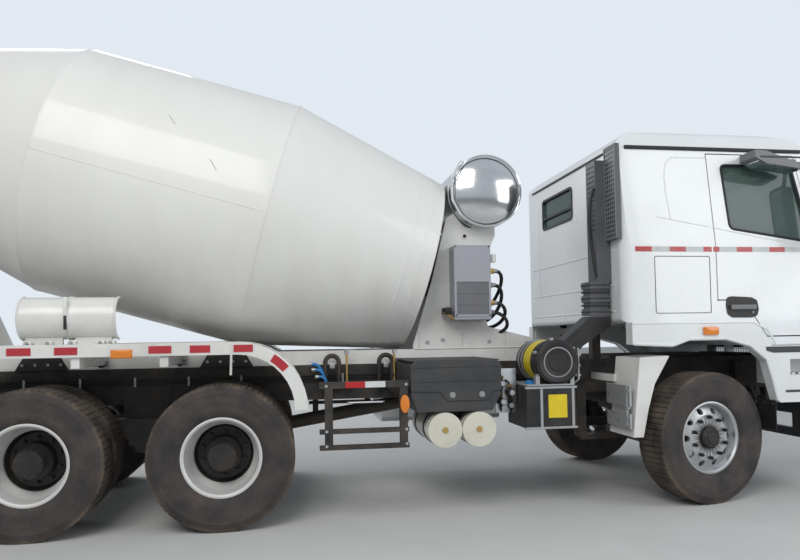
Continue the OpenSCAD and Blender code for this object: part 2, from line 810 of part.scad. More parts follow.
module chute() {
  color([0.92, 0.92, 0.9]) at_arm() {
    translate([chute_head, 0, chute_r + 150]) trough(chute_len, chute_r, trough_t);
    // Cheeks on the tilting pin
    for (side = [-1, 1])
      translate([0, side * (chute_r - 20) - 10, 0])
        side_plate(20) polygon([[-50, tilt_pin_z - 25], [50, tilt_pin_z - 25], [90, 285], [-90, 285]]);
    cross_pin([0, 0, tilt_pin_z], 30, 2 * chute_r + 110);
    // Ears of the folding flap, each on a block outside the trough's rim
    for (side = [-1, 1])
      translate([flap_pivot[0], side * (chute_r + 11) - 5, flap_pivot[1]])
        difference() {
          side_plate(10) polygon([[-22, 22], [-22, -22], [40, -60], [70, -60], [70, -26], [22, 22]]);
          cross_pin([0, 0, 0], pin_flap + 2 * fit, 60);
        }
    for (side = [-1, 1])
      translate([flap_pivot[0], side * (chute_r + 1), flap_pivot[1]])
        block([14, -7, -60], [70, 7, -28]);
  }
}

module chute_flap() {
  color([0.92, 0.92, 0.9]) at_arm() {
    translate([flap_pivot[0] + flap_len + 20, 0, 2 * flap_pivot[1] - chute_r - 150])
      mirror([0, 0, 1]) trough(flap_len, chute_r, trough_t);
    for (side = [-1, 1])
      translate([flap_pivot[0], side * (chute_r + 26), flap_pivot[1]]) {
        cross_pin([0, -side * 9, 0], pin_flap, 26);
        translate([0, -4, 0])
          side_plate(8) polygon([[-20, -16], [20, -16], [100, 30], [100, 62], [30, 62], [-20, 16]]);
        translate([0, -side * 14, 0]) block([34, -18, 28], [100, 18, 60]);
      }
  }
}

// Cab outline from the side, in x from the front axle and z, anticlockwise
lower_z = cab_floor - 210;
side_line = [
  [-cab_back, cab_floor], [430, cab_floor], [600, lower_z], [cab_len - cab_back, lower_z],
  [cab_len - cab_back, 1900], [cab_len - cab_back - 40, 2080], [cab_len - cab_back - 250, 2960],
  [cab_len - cab_back - 340, cab_top - 50], [700, cab_top - 4], [170, cab_top],
  [-cab_back + 120, cab_top - 20], [-cab_back, gutter_z + 45]
];
side_round = [40, 0, 0, 30, 300, 300, 160, 260, 600, 500, 200, 60];
belt_z = 2150;
roof_lean = 52;
front_line = [
  [-cab_w / 2, lower_z], [cab_w / 2, lower_z], [cab_w / 2, belt_z], [cab_w / 2 - roof_lean, gutter_z],
  [cab_w / 2 - 150, cab_top], [-cab_w / 2 + 150, cab_top], [-cab_w / 2 + roof_lean, gutter_z],
  [-cab_w / 2, belt_z]
];
front_round = [20, 20, 0, 90, 120, 120, 90, 0];
plan_line = [
  [-cab_back, -cab_w / 2], [cab_len - cab_back - 60, -cab_w / 2], [cab_len - cab_back, -cab_w / 2 + 200],
  [cab_len - cab_back, cab_w / 2 - 200], [cab_len - cab_back - 60, cab_w / 2], [-cab_back, cab_w / 2]
];
plan_round = [80, 100, 110, 110, 100, 80];

function less(radii, t) = [for (r = radii) r > t ? r - t : 0];

module cab_form(t) {
  intersection() {
    translate([steer_x, 0, 0]) side_slab(cab_w + 100)
      rounded(inset(side_line, t), less(side_round, t));
    along_x(cab_rear_x - 50, cab_front_x + 50) rounded(inset(front_line, t), less(front_round, t));
    translate([steer_x, 0, lower_z - 50]) linear_extrude(cab_top - lower_z + 100)
      rounded(inset(plan_line, t), less(plan_round, t));
  }
}

// Outline of a door and of its window, in x from the front axle and z
door_line = [
  [170, 1680], [320, 1680], [480, 1575], [620, lower_z + 80], [cab_len - cab_back - 230, lower_z + 80],
  [cab_len - cab_back - 230, 2060], [cab_len - cab_back - 425, 2935], [130, 2935], [168, 2100]
];
window_line = [
  [300, 2280], [cab_len - cab_back - 300, 2165], [cab_len - cab_back - 440, 2850], [250, 2850]
];
window_round = [60, 40, 40, 60];
glass_in = 16;
glass_t = 6;

module at_side(t) {
  translate([steer_x, cab_w / 2 - t, 0]) side_plate(t + 60) children();
}

// Door hinges on the front pillar: a pin in a pocket of the pillar, and an ear of the door round it
hinge_x = steer_x + cab_len - cab_back - 230;
pin_x = hinge_x + 40;
pin_y = cab_w / 2 - 14;
pin_d = 12;
ear_h = 56;
hinge_heights = [1480, 1960];

module hinge_pockets() {
  for (z = hinge_heights)
    block([hinge_x, pin_y - 16, z - 6], [pin_x + 16, cab_w / 2 + 1, z + ear_h + 6]);
}

module door_panel() {
  difference() {
    intersection() {
      difference() {
        cab_form(0);
        cab_form(wall);
      }
      at_side(260) polygon(inset(door_line, gap / 2));
    }
    at_side(300) rounded(window_line, window_round);
  }
  for (z = hinge_heights)
    difference() {
      union() {
        block([hinge_x - 12, pin_y - 10, z], [pin_x, pin_y + 10, z + ear_h]);
        translate([pin_x, pin_y, z]) cylinder(r = 10, h = ear_h);
      }
      translate([pin_x, pin_y, z - 1]) cylinder(d = pin_d + 2 * fit, h = ear_h + 2);
    }
}

// Half width of the cab's leaning upper side at height z
function side_y(z) = cab_w / 2 - roof_lean * (z - belt_z) / (gutter_z - belt_z);

module door_glass() {
  z0 = belt_z - 40;
  z1 = gutter_z - 60;
  intersection() {
    along_x(steer_x, cab_front_x)
      polygon([
        [side_y(z0) - glass_in - glass_t, z0], [side_y(z0) - glass_in, z0],
        [side_y(z1) - glass_in, z1], [side_y(z1) - glass_in - glass_t, z1]
      ]);
    at_side(300) rounded(inset(window_line, seat), window_round);
  }
}

windscreen_line = [[-960, 2110], [960, 2110], [900, 2890], [-900, 2890]];
rear_window_line = [[-140, 2520], [660, 2520], [660, 2850], [-140, 2850]];

module windscreen_cut(t) {
  along_x(steer_x + 900, cab_front_x + 100) rounded(inset(windscreen_line, t), [60, 60, 90, 90]);
}

module rear_window_cut(t) {
  along_x(cab_rear_x - 60, cab_rear_x + 200) rounded(inset(rear_window_line, t), [50, 50, 50, 50]);
}

module above_gutter() {
  block([cab_rear_x - 100, -cab_w, gutter_z], [cab_front_x + 100, cab_w, cab_top + 100]);
}

module cab_shell() {
  color([0.93, 0.94, 0.94]) difference() {
    cab_form(0);
    cab_form(wall);
    above_gutter();
    both_sides() at_side(260) polygon(inset(door_line, -gap / 2));
    windscreen_cut(0);
    rear_window_cut(0);
    both_sides() hinge_pockets();
  }
  color([0.3, 0.3, 0.3]) both_sides()
    for (z = hinge_heights)
      translate([pin_x, pin_y, z - 8]) cylinder(d = pin_d, h = ear_h + 16);
  color([0.1, 0.1, 0.1]) both_sides()
    difference() {
      translate([0, frame_half + 5, 0])
        side_plate(40)
          polygon([
            [tilt_x - 60, lower_z + 1], [tilt_x - 32, tilt_z], [tilt_x - 20, tilt_z - 30],
            [tilt_x + 20, tilt_z - 30], [tilt_x + 32, tilt_z], [tilt_x + 36, lower_z + 1]
          ]);
      cross_pin([tilt_x, 0, tilt_z], pivot_d + 2 * fit, cab_w);
    }
}

module cab_roof() {
  color([0.93, 0.94, 0.94]) intersection() {
    difference() {
      cab_form(0);
      cab_form(wall);
    }
    above_gutter();
  }
}

// Skirt under the cab with the wheel arch, its flare and the box of the entry steps
skirt_low = 815;
step_z = [1045, 1175];
module cab_skirt() {
  color([0.93, 0.94, 0.94]) both_sides()
    difference() {
      union() {
        translate([steer_x, body_half - 130, 0])
          side_plate(110)
            polygon([
              [-cab_back + 20, cab_floor - seat], [-cab_back + 20, 1320], [-300, 1300], [-150, 1350],
              [180, 1350], [400, 1290], [550, 1170], [640, skirt_low + 15], [660, skirt_low],
              [1060, skirt_low], [1060, 940], [1310, 940], [1310, lower_z - seat],
              [599, lower_z - seat], [429, cab_floor - seat]
            ]);
        block([steer_x + 735, body_half - 420, tilt_z + 5],
              [cab_front_x - 60, body_half - 60, lower_z - seat]);
      }
      // Recess of the upper step
      block([steer_x + 760, body_half - 200, step_z[0]], [steer_x + 1240, body_half, step_z[1]]);
    }
}

module front_flap() {
  x1 = cab_front_x + 40;
  color([0.25, 0.25, 0.26]) difference() {
    block([cab_front_x + seat, -960, tilt_z + 120], [x1, 960, 1800]);
    for (i = [0 : 4])
      block([cab_front_x - 1, -800, 1180 + i * 110], [x1 + 1, 800, 1180 + i * 110 + 60]);
  }
}

module cab_glass() {
  foot = [cab_len - cab_back - 40, 2080];
  head = [cab_len - cab_back - 250, 2960];
  color([0.5, 0.6, 0.6, 0.5]) {
    intersection() {
      translate([steer_x, 0, 0]) side_slab(cab_w)
        polygon([
          foot - [glass_in + glass_t, 0], foot - [glass_in, 0],
          head - [glass_in, 0], head - [glass_in + glass_t, 0]
        ]);
      windscreen_cut(seat);
    }
    intersection() {
      block([cab_rear_x + glass_in, -cab_w / 2, 2400], [cab_rear_x + glass_in + glass_t, cab_w / 2, 2900]);
      rear_window_cut(seat);
    }
  }
}

seat_y = 560;
seat_top = cab_floor + 580;
wheel_p = [steer_x + 720, seat_y, cab_floor + 580];
module seats() {
  color([0.2, 0.2, 0.22])
    for (y = [-seat_y, seat_y]) {
      block([steer_x - 100, y - 240, seat_top - 130], [steer_x + 400, y + 240, seat_top]);
      block([steer_x - 200, y - 230, seat_top - 120], [steer_x - 100 - seat, y + 230, seat_top + 670]);
      block([steer_x + 50, y - 150, cab_floor + wall + seat],
            [steer_x + 300, y + 150, seat_top - 130 - seat]);
    }
}

module dashboard() {
  color([0.25, 0.25, 0.25]) {
    intersection() {
      cab_form(wall + seat);
      side_slab(cab_w)
        polygon([
          [steer_x + 880, cab_floor + 300], [cab_front_x, cab_floor + 150], [cab_front_x, cab_floor + 560],
          [steer_x + 1000, cab_floor + 580], [steer_x + 880, cab_floor + 480]
        ]);
    }
    rod(wheel_p + [180, 0, -230], wheel_p, 60);
  }
}

module steering_wheel() {
  color([0.1, 0.1, 0.1])
    translate(wheel_p) rotate([0, -38.05, 0]) {
      translate([0, 0, 40]) rotate_extrude() translate([215, 0]) circle(15, $fn = 24);
      translate([0, 0, seat]) cylinder(d = 90, h = 50);
      for (a = [0, 120, 240])
        rotate([0, 0, a]) translate([0, -15, 30]) cube([212, 30, 20]);
    }
}

// Air intake on the cab's rear wall: the duct, the grille beside it and the bellows under it
module snorkel() {
  color([0.18, 0.19, 0.2]) {
    block([cab_rear_x - duct_d, duct_y, 1850], [cab_rear_x - seat, duct_y + duct_w, 2900]);
    block([cab_rear_x - 40, -cab_w / 2 + 20, 2200], [cab_rear_x - seat, duct_y + 1, 3000]);
    for (i = [0 : 4])
      let (in = (i % 2) * 12)
        block([cab_rear_x - 200 + in, duct_y + in, 1568 + i * 57],
              [cab_rear_x - 20 - in, duct_y + duct_w - in, 1626 + i * 57]);
  }
}

module door_left() {
  color([0.93, 0.94, 0.94]) door_panel();
}

module door_right() {
  color([0.93, 0.94, 0.94]) mirror([0, 1, 0]) door_panel();
}

module door_glass_left() {
  color([0.5, 0.6, 0.6, 0.5]) door_glass();
}

module door_glass_right() {
  color([0.5, 0.6, 0.6, 0.5]) mirror([0, 1, 0]) door_glass();
}

// Outline of a foot on the leaning upper side, in y and z
function foot_line(z0, z1, out) = [
  [side_y(z0) + seat, z0], [side_y(z0) + out, z0], [side_y(z1) + out, z1], [side_y(z1) + seat, z1]
];

module mirror_left() {
  head_x = hinge_x - 30;
  head_y = cab_w / 2 + 210;
  color([0.15, 0.15, 0.16]) {
    // Housing of the main and the wide-angle glass
    along_x(head_x - 45, head_x + 45)
      rounded(
        [[head_y, 2160], [head_y + 200, 2160], [head_y + 210, 2780], [head_y + 10, 2780]],
        [50, 60, 60, 50]);
    // Two arms from feet on the door
    along_x(hinge_x - 240, hinge_x - 190) polygon(foot_line(2840, 2900, 40));
    along_x(hinge_x - 110, hinge_x - 60) polygon(foot_line(2190, 2250, 40));
    rod([hinge_x - 215, side_y(2870) + 20, 2870], [head_x, head_y + 60, 2760], 34);
    rod([hinge_x - 85, side_y(2220) + 20, 2220], [head_x, head_y + 30, 2230], 34);
  }
}

module mirror_right() {
  mirror([0, 1, 0]) {
    mirror_left();
    kerb_mirror();
  }
}

// Wedge-shaped mirror over the right door's window, with its foot on the door
module kerb_mirror() {
  color([0.15, 0.15, 0.16]) {
    translate([0, cab_w / 2 + 10, 0])
      side_plate(210)
        polygon([
          [hinge_x - 740, 2850], [hinge_x - 640, 2800], [hinge_x - 300, 2760], [hinge_x - 290, 2785],
          [hinge_x - 420, 2835], [hinge_x - 640, 2905], [hinge_x - 740, 2910]
        ]);
    along_x(hinge_x - 700, hinge_x - 650) polygon(foot_line(2860, 2915, 60));
  }
}

// Drum: shell of revolution about its tilted axis, with the ring that runs on the rollers
function drum_line(t) = [
  [0, t], [head_r - t, t], [drum_r - t, front_cone], [barrel_r - t, front_cone + barrel_len],
  [mouth_r - t, drum_len + (t > 0 ? 1 : 0)], [0, drum_len + (t > 0 ? 1 : 0)]
];

module at_drum() {
  translate(head_p) rotate([0, drum_tilt - 90, 0]) children();
}

cone_at_ring = mouth_r + (barrel_r - mouth_r) * ring_back / rear_cone;
module drum() {
  color([0.93, 0.92, 0.88]) at_drum() {
    rotate_extrude($fn = 120) difference() {
      union() {
        polygon(drum_line(0));
        translate([0, -hub_out]) square([180, hub_out + 1]);
        polygon([
          [cone_at_ring - 60, ring_s - 55], [ring_r, ring_s - 55], [ring_r, ring_s + 55],
          [cone_at_ring - 60, ring_s + 55]
        ]);
      }
      polygon(drum_line(shell_t));
    }
  }
}

// Two helical blades on the inside of the shell, as stacked quads between the shell and the free edge
blade_t = 6;
blade_gap = 1.6;
blade_pitch = 950;
blade_step = 15;
blade_s0 = 700;
blade_s1 = 4850;
function shell_r(s) =
  s < front_cone ? head_r + (drum_r - head_r) * s / front_cone :
  s < front_cone + barrel_len ? drum_r + (barrel_r - drum_r) * (s - front_cone) / barrel_len :
  barrel_r + (mouth_r - barrel_r) * (s - front_cone - barrel_len) / rear_cone;
function blade_h(s) = 340 - 190 * max(0, s - 2600) / (blade_s1 - 2600);

module blade() {
  steps = round((blade_s1 - blade_s0) / blade_pitch * 360 / blade_step);
  rings = [
    for (i = [0 : steps])
      let (s = blade_s0 + (blade_s1 - blade_s0) * i / steps, a = i * blade_step,
        r1 = shell_r(s) - shell_t - blade_gap, r0 = r1 - blade_h(s))
      each [
        [r1 * cos(a), r1 * sin(a), s - blade_t / 2], [r1 * cos(a), r1 * sin(a), s + blade_t / 2],
        [r0 * cos(a), r0 * sin(a), s + blade_t / 2], [r0 * cos(a), r0 * sin(a), s - blade_t / 2]
      ]
  ];
  faces = [
    [3, 2, 1, 0],
    for (i = [0 : steps - 1])
      for (k = [0 : 3])
        let (a = 4 * i + k, b = 4 * i + (k + 1) % 4)
        each [[a, b, b + 4], [a, b + 4, a + 4]],
    [4 * steps, 4 * steps + 1, 4 * steps + 2, 4 * steps + 3]
  ];
  polyhedron(points = rings, faces = faces);
}

module drum_blades() {
  color([0.6, 0.58, 0.55]) at_drum()
    for (turn = [0, 180]) rotate([0, 0, turn]) blade();
}

// Steering knuckles with their stub axles; hub_face is where a front hub starts, from the kingpin
wheel_out = scrub - tyre_w / 2;
hub_face = wheel_out - 20 - seat;
stub_len = 75;
module knuckle() {
  // Kingpin through the axle's eye, with a lug over and under it
  translate([0, 0, -110]) cylinder(d = 46, h = 220);
  for (z = [-110, 66]) translate([0, 0, z]) cylinder(d = 104, h = 44);
  rotate([0, 0, steer]) {
    block([-52, 58, -110], [52, hub_face, 110]);
    for (z = [-110, 66]) block([-50, 0, z], [50, 60, z + 44]);
    translate([0, hub_face - 1, 0]) rotate([-90, 0, 0]) cylinder(d = spindle_d, h = stub_len);
  }
}

module knuckle_left() {
  color([0.12, 0.12, 0.12]) translate([steer_x, kingpin_y, hub_z]) knuckle();
}

module knuckle_right() {
  color([0.12, 0.12, 0.12]) translate([steer_x, -kingpin_y, hub_z])
    rotate([0, 0, 2 * steer]) mirror([0, 1, 0]) knuckle();
}

// Wheels: profiles in radius and in distance outwards from the tyre's middle
module tyre(w) {
  color([0.08, 0.07, 0.07])
    rotate_extrude($fn = 96)
      rounded(
        [[rim_d / 2 + seat, -w * 0.36], [rim_d / 2 + 95, -w / 2], [tyre_od / 2 - 10, -w / 2 + 6],
         [tyre_od / 2, -w / 2 + 40], [tyre_od / 2, w / 2 - 40], [tyre_od / 2 - 10, w / 2 - 6],
         [rim_d / 2 + 95, w / 2], [rim_d / 2 + seat, w * 0.36]],
        [4, 60, 16, 20, 20, 16, 60, 4]);
}

module front_rim() {
  r = rim_d / 2;
  color([0.8, 0.8, 0.8]) difference() {
    rotate_extrude($fn = 96) polygon([
      [r, -110], [r, 110], [r - 12, 112], [r - 25, 100], [r - 30, 40], [190, 85], [90, 85],
      [90, 110], [70, 125], [0, 125], [0, 60], [spindle_d / 2 + fit, 60], [spindle_d / 2 + fit, -20],
      [120, -20], [120, 30], [180, 70], [r - 50, 20], [r - 42, -100], [r - 12, -112]
    ]);
    for (i = [0 : 9])
      rotate([0, 0, 36 * i]) translate([222, 0, 0]) cylinder(d = 52, h = 130);
  }
}

module rear_rims() {
  r = rim_d / 2;
  p = twin_pitch;
  color([0.75, 0.75, 0.75]) {
    rotate_extrude($fn = 96) polygon([
      [r, -110], [r, 110], [r - 12, 112], [r - 25, 100], [r - 35, -30], [r - 60, -90], [200, -p / 2 + 10],
      [135, -p / 2 + 10], [135, -60], [110, -10], [100, 60], [0, 60], [0, -hub_end],
      [spindle_d / 2 + fit, -hub_end], [spindle_d / 2 + fit, -p / 2 - 100], [190, -p / 2 - 100],
      [190, -p / 2 - 10], [r - 80, -p / 2], [r - 72, -100], [r - 48, -60], [r - 45, -100], [r - 12, -112]
    ]);
    translate([0, 0, -p]) rotate_extrude($fn = 96) polygon([
      [r, -110], [r, 110], [r - 12, 112], [r - 25, 100], [r - 32, 60], [r - 85, p / 2 - 10],
      [189, p / 2 - 10], [189, p / 2 - 25], [r - 95, p / 2 - 25], [r - 36, 30], [r - 25, -100], [r - 12, -112]
    ]);
  }
}

module wheel_front() {
  tyre(tyre_w);
  front_rim();
}

module wheels_twin() {
  tyre(tyre_w);
  translate([0, 0, -twin_pitch]) tyre(tyre_w);
  rear_rims();
}

module wheel_front_left() {
  translate([steer_x, kingpin_y, hub_z]) rotate([0, 0, steer])
    translate([0, scrub - tyre_w / 2, 0]) rotate([-90, 0, 0]) wheel_front();
}

module wheel_front_right() {
  translate([steer_x, -kingpin_y, hub_z]) rotate([0, 0, steer])
    translate([0, -scrub + tyre_w / 2, 0]) rotate([90, 0, 0]) wheel_front();
}

module twins(x, side) {
  translate([x, side * tyre_y, hub_z]) rotate([-side * 90, 0, 0]) wheels_twin();
}

module wheels_mid_right() {
  twins(mid_x, -1);
}

module wheels_mid_left() {
  twins(mid_x, 1);
}

module wheels_rear_right() {
  twins(rear_x, -1);
}

module wheels_rear_left() {
  twins(rear_x, 1);
}

frame();
subframe();
bumper();
lamps();
axles();
springs();
driveline();
engine();
fuel_tank();
battery_box();
air_tanks();
fluid_tank();
air_cleaner();
guards();
mudguards();
drum_drive();
oil_cooler();
water_tank();
hopper();
ladder();
spare_chutes();
roller_right();
roller_left();
chute_arm();
chute();
chute_flap();
cab_shell();
cab_roof();
cab_skirt();
front_flap();
cab_glass();
seats();
dashboard();
steering_wheel();
snorkel();
door_right();
door_left();
door_glass_right();
door_glass_left();
mirror_right();
mirror_left();
drum();
drum_blades();
knuckle_right();
knuckle_left();
wheel_front_right();
wheel_front_left();
wheels_mid_right();
wheels_mid_left();
wheels_rear_right();
wheels_rear_left();
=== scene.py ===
import json
import math

import bmesh
import bpy
from mathutils import Matrix, Vector, geometry


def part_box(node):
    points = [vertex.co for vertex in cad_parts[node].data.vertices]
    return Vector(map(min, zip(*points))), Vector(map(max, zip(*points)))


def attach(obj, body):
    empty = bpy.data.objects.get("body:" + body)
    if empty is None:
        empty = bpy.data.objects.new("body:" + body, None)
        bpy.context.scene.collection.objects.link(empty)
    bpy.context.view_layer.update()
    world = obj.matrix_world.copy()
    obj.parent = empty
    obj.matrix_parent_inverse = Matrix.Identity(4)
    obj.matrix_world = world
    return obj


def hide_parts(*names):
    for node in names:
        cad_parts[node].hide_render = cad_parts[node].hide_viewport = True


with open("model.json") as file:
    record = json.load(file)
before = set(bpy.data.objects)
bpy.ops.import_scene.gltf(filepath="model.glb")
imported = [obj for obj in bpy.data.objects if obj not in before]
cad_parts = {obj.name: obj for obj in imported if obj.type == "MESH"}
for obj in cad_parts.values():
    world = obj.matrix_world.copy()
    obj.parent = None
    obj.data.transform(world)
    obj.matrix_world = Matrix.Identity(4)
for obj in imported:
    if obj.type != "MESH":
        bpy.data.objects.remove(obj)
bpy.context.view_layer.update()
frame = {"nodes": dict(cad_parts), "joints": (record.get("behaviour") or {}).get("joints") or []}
nodes = frame["nodes"]
jointOf = {j["child"]: j for j in frame["joints"]}
print("frame loaded")

# Materials: every one reads Object coordinates, in metres
def socketIn(node, name, value):
    socket = node.inputs[name]
    if hasattr(value, "is_output") or hasattr(value, "links"):
        node.id_data.links.new(value, socket)
    else:
        socket.default_value = value


def addNode(tree, kind, settings=None, **inputs):
    node = tree.nodes.new(kind)
    for name, value in (settings or {}).items():
        setattr(node, name, value)
    for name, value in inputs.items():
        socketIn(node, name.replace("_", " "), value)
    return node


def noiseOf(tree, scale, detail=4, stretch=(1, 1, 1), rough=0.55):
    place = addNode(tree, "ShaderNodeTexCoord").outputs["Object"]
    mapping = addNode(tree, "ShaderNodeMapping", Vector=place, Scale=stretch)
    return addNode(tree, "ShaderNodeTexNoise", Vector=mapping.outputs[0], Scale=scale,
                   Detail=detail, Roughness=rough).outputs["Fac"]


def rampOf(tree, value, low, high, outLow=0.0, outHigh=1.0):
    node = addNode(tree, "ShaderNodeMapRange", Value=value)
    for name, number in (("From Min", low), ("From Max", high), ("To Min", outLow), ("To Max", outHigh)):
        node.inputs[name].default_value = number
    return node.outputs[0]


def mathOf(tree, kind, a, b):
    node = addNode(tree, "ShaderNodeMath", {"operation": kind})
    socketIn(node, 0, a)
    socketIn(node, 1, b)
    return node.outputs[0]


def mixColour(tree, factor, a, b):
    node = addNode(tree, "ShaderNodeMix", {"data_type": "RGBA"})
    socketIn(node, 0, factor)
    socketIn(node, 6, a)
    socketIn(node, 7, b)
    return node.outputs[2]


def bumpOf(tree, height, distance, strength=1.0):
    node = addNode(tree, "ShaderNodeBump", Height=height)
    node.inputs["Distance"].default_value = distance
    node.inputs["Strength"].default_value = strength
    return node.outputs[0]


def newMaterial(name, roughness=0.5, metallic=0.0, coat=0.0, alpha=1.0, ior=1.45):
    material = bpy.data.materials.new(name)
    material.use_nodes = True
    shader = material.node_tree.nodes["Principled BSDF"]
    shader.inputs["Roughness"].default_value = roughness
    shader.inputs["Metallic"].default_value = metallic
    shader.inputs["Coat Weight"].default_value = coat
    shader.inputs["Coat Roughness"].default_value = 0.06
    shader.inputs["Alpha"].default_value = alpha
    shader.inputs["IOR"].default_value = ior
    return material, material.node_tree, shader


# Paint that darkens towards the ground in noisy patches, and a little at every height: partly dirt, partly
# painted shade of the lower parts, as on the drum's underside
def paint(name, colour, dirtAndShade, dirtAndShadeLow, dirtAndShadeHigh, amount, roughness=0.35, coat=0.5, streak=(1, 1, 1)):
    material, tree, shader = newMaterial(name, roughness, coat=coat)
    place = addNode(tree, "ShaderNodeTexCoord").outputs["Object"]
    height = addNode(tree, "ShaderNodeSeparateXYZ", Vector=place).outputs["Z"]
    # Darker towards the ground: dirt mixed with painted shade
    low = rampOf(tree, height, dirtAndShadeLow, dirtAndShadeHigh, 1.0, 0.0)
    patches = rampOf(tree, noiseOf(tree, 2.2, 6, streak), 0.38, 0.72)
    fine = rampOf(tree, noiseOf(tree, 30, 3), 0.3, 0.75, 0.55, 1.0)
    factor = mathOf(tree, "MULTIPLY", mathOf(tree, "MULTIPLY", mathOf(tree, "ADD", low, 0.22), patches), fine)
    factor = mathOf(tree, "MULTIPLY", factor, amount)
    tint = mixColour(tree, rampOf(tree, noiseOf(tree, 0.9, 2), 0.3, 0.7), [*colour, 1],
                     [*(c * 0.955 for c in colour), 1])
    socketIn(shader, "Base Color", mixColour(tree, factor, tint, [*dirtAndShade, 1]))
    socketIn(shader, "Roughness", rampOf(tree, factor, 0.0, 0.6, roughness, 0.85))
    socketIn(shader, "Normal", bumpOf(tree, noiseOf(tree, 9, 2), 0.0006))
    return material


# Rubber, plastic and cast parts: a base colour under brown dust
def dusty(name, colour, dust, amount, roughness, grain, grainDepth, metallic=0.0):
    material, tree, shader = newMaterial(name, roughness, metallic)
    patches = rampOf(tree, noiseOf(tree, 5, 5), 0.35, 0.7)
    fine = rampOf(tree, noiseOf(tree, 55, 3), 0.25, 0.8, 0.5, 1.0)
    factor = mathOf(tree, "MULTIPLY", mathOf(tree, "MULTIPLY", patches, fine), amount)
    socketIn(shader, "Base Color", mixColour(tree, factor, [*colour, 1], [*dust, 1]))
    socketIn(shader, "Roughness", rampOf(tree, factor, 0.0, 0.7, roughness, 0.92))
    socketIn(shader, "Normal", bumpOf(tree, noiseOf(tree, grain, 3), grainDepth))
    return material


def metal(name, colour, roughness, smear, stretch=(1, 1, 1)):
    material, tree, shader = newMaterial(name, roughness, 1.0)
    cloud = noiseOf(tree, 4, 4, stretch)
    socketIn(shader, "Base Color", mixColour(tree, rampOf(tree, cloud, 0.3, 0.75), [*colour, 1],
                                             [*(c * 0.82 for c in colour), 1]))
    socketIn(shader, "Roughness", rampOf(tree, cloud, 0.3, 0.75, roughness, roughness + smear))
    socketIn(shader, "Normal", bumpOf(tree, noiseOf(tree, 120, 2, stretch), 0.0001))
    return material


# Red and white reflecting tape: blocks of colour along X
def tape(name, pitch, redPart, start, red=(0.45, 0.025, 0.03), white=(0.78, 0.78, 0.77)):
    material, tree, shader = newMaterial(name, 0.35, coat=0.3)
    place = addNode(tree, "ShaderNodeTexCoord").outputs["Object"]
    along = addNode(tree, "ShaderNodeSeparateXYZ", Vector=place).outputs["X"]
    share = mathOf(tree, "FLOORED_MODULO", mathOf(tree, "SUBTRACT", along, start), pitch)
    isRed = mathOf(tree, "LESS_THAN", share, redPart)
    grime = rampOf(tree, noiseOf(tree, 18, 4), 0.4, 0.8, 0.0, 0.35)
    socketIn(shader, "Base Color", mixColour(tree, grime, mixColour(tree, isRed, [*white, 1], [*red, 1]),
                                             [0.3, 0.27, 0.23, 1]))
    socketIn(shader, "Normal", bumpOf(tree, noiseOf(tree, 400, 1), 0.0001))
    return material


def plain(name, colour, roughness, grain=40, depth=0.0003, coat=0.0, metallic=0.0):
    material, tree, shader = newMaterial(name, roughness, metallic, coat)
    cloud = rampOf(tree, noiseOf(tree, 12, 3), 0.3, 0.7)
    socketIn(shader, "Base Color", mixColour(tree, cloud, [*colour, 1], [*(c * 0.85 for c in colour), 1]))
    socketIn(shader, "Normal", bumpOf(tree, noiseOf(tree, grain, 2), depth))
    return material


# The grey that paint darkens to near the ground: dirt and painted shade
dirtAndShadeGrey = (0.30, 0.27, 0.23)
dustBrown = (0.20, 0.155, 0.115)
cabWhite = paint("cabWhite", (0.78, 0.80, 0.81), dirtAndShadeGrey, 0.6, 1.9, 0.35, 0.22, 0.8)
bodyWhite = paint("bodyWhite", (0.76, 0.76, 0.73), dirtAndShadeGrey, 0.6, 2.2, 0.7, 0.32, 0.4)
# The drum darkens towards its underside: painted shade, with some dirt in patches
drumCream = paint("drumCream", (0.80, 0.80, 0.77), (0.42, 0.39, 0.33), 1.0, 2.4, 0.4, 0.42, 0.35,
                  (1.6, 0.5, 0.5))
tankCream = paint("tankCream", (0.70, 0.68, 0.58), dirtAndShadeGrey, 0.4, 1.3, 0.5, 0.3, 0.5)
chassisBlack = dusty("chassisBlack", (0.014, 0.014, 0.015), dustBrown, 0.42, 0.5, 60, 0.0006)
machineGrey = dusty("machineGrey", (0.10, 0.105, 0.11), dustBrown, 0.35, 0.5, 45, 0.001)
darkPlastic = dusty("darkPlastic", (0.035, 0.038, 0.042), (0.16, 0.14, 0.12), 0.3, 0.5, 300, 0.0003)
blackPlastic = dusty("blackPlastic", (0.012, 0.012, 0.013), (0.14, 0.12, 0.10), 0.25, 0.42, 260, 0.0003)
greyPlastic = dusty("greyPlastic", (0.17, 0.175, 0.18), (0.24, 0.22, 0.2), 0.25, 0.45, 220, 0.0003)
tyreRubber = dusty("tyreRubber", (0.030, 0.027, 0.027), (0.125, 0.10, 0.09), 0.75, 0.75, 90, 0.0012)
treadRubber = dusty("treadRubber", (0.035, 0.030, 0.027), (0.20, 0.155, 0.115), 0.85, 0.85, 70, 0.0015)
rimSilver = dusty("rimSilver", (0.52, 0.53, 0.54), (0.30, 0.26, 0.21), 0.35, 0.33, 80, 0.0004, 0.75)
rimBright = dusty("rimBright", (0.72, 0.72, 0.70), (0.36, 0.32, 0.27), 0.3, 0.4, 60, 0.0004, 0.2)
hubDark = dusty("hubDark", (0.022, 0.022, 0.023), dustBrown, 0.22, 0.45, 70, 0.0008, 0.3)
oilyIron = dusty("oilyIron", (0.05, 0.048, 0.045), dustBrown, 0.5, 0.5, 50, 0.0012, 0.2)
polishedSteel = metal("polishedSteel", (0.72, 0.73, 0.74), 0.10, 0.10, (1, 8, 1))
aluminium = metal("aluminium", (0.60, 0.61, 0.62), 0.32, 0.15)
brassFitting = metal("brassFitting", (0.66, 0.45, 0.16), 0.3, 0.15)
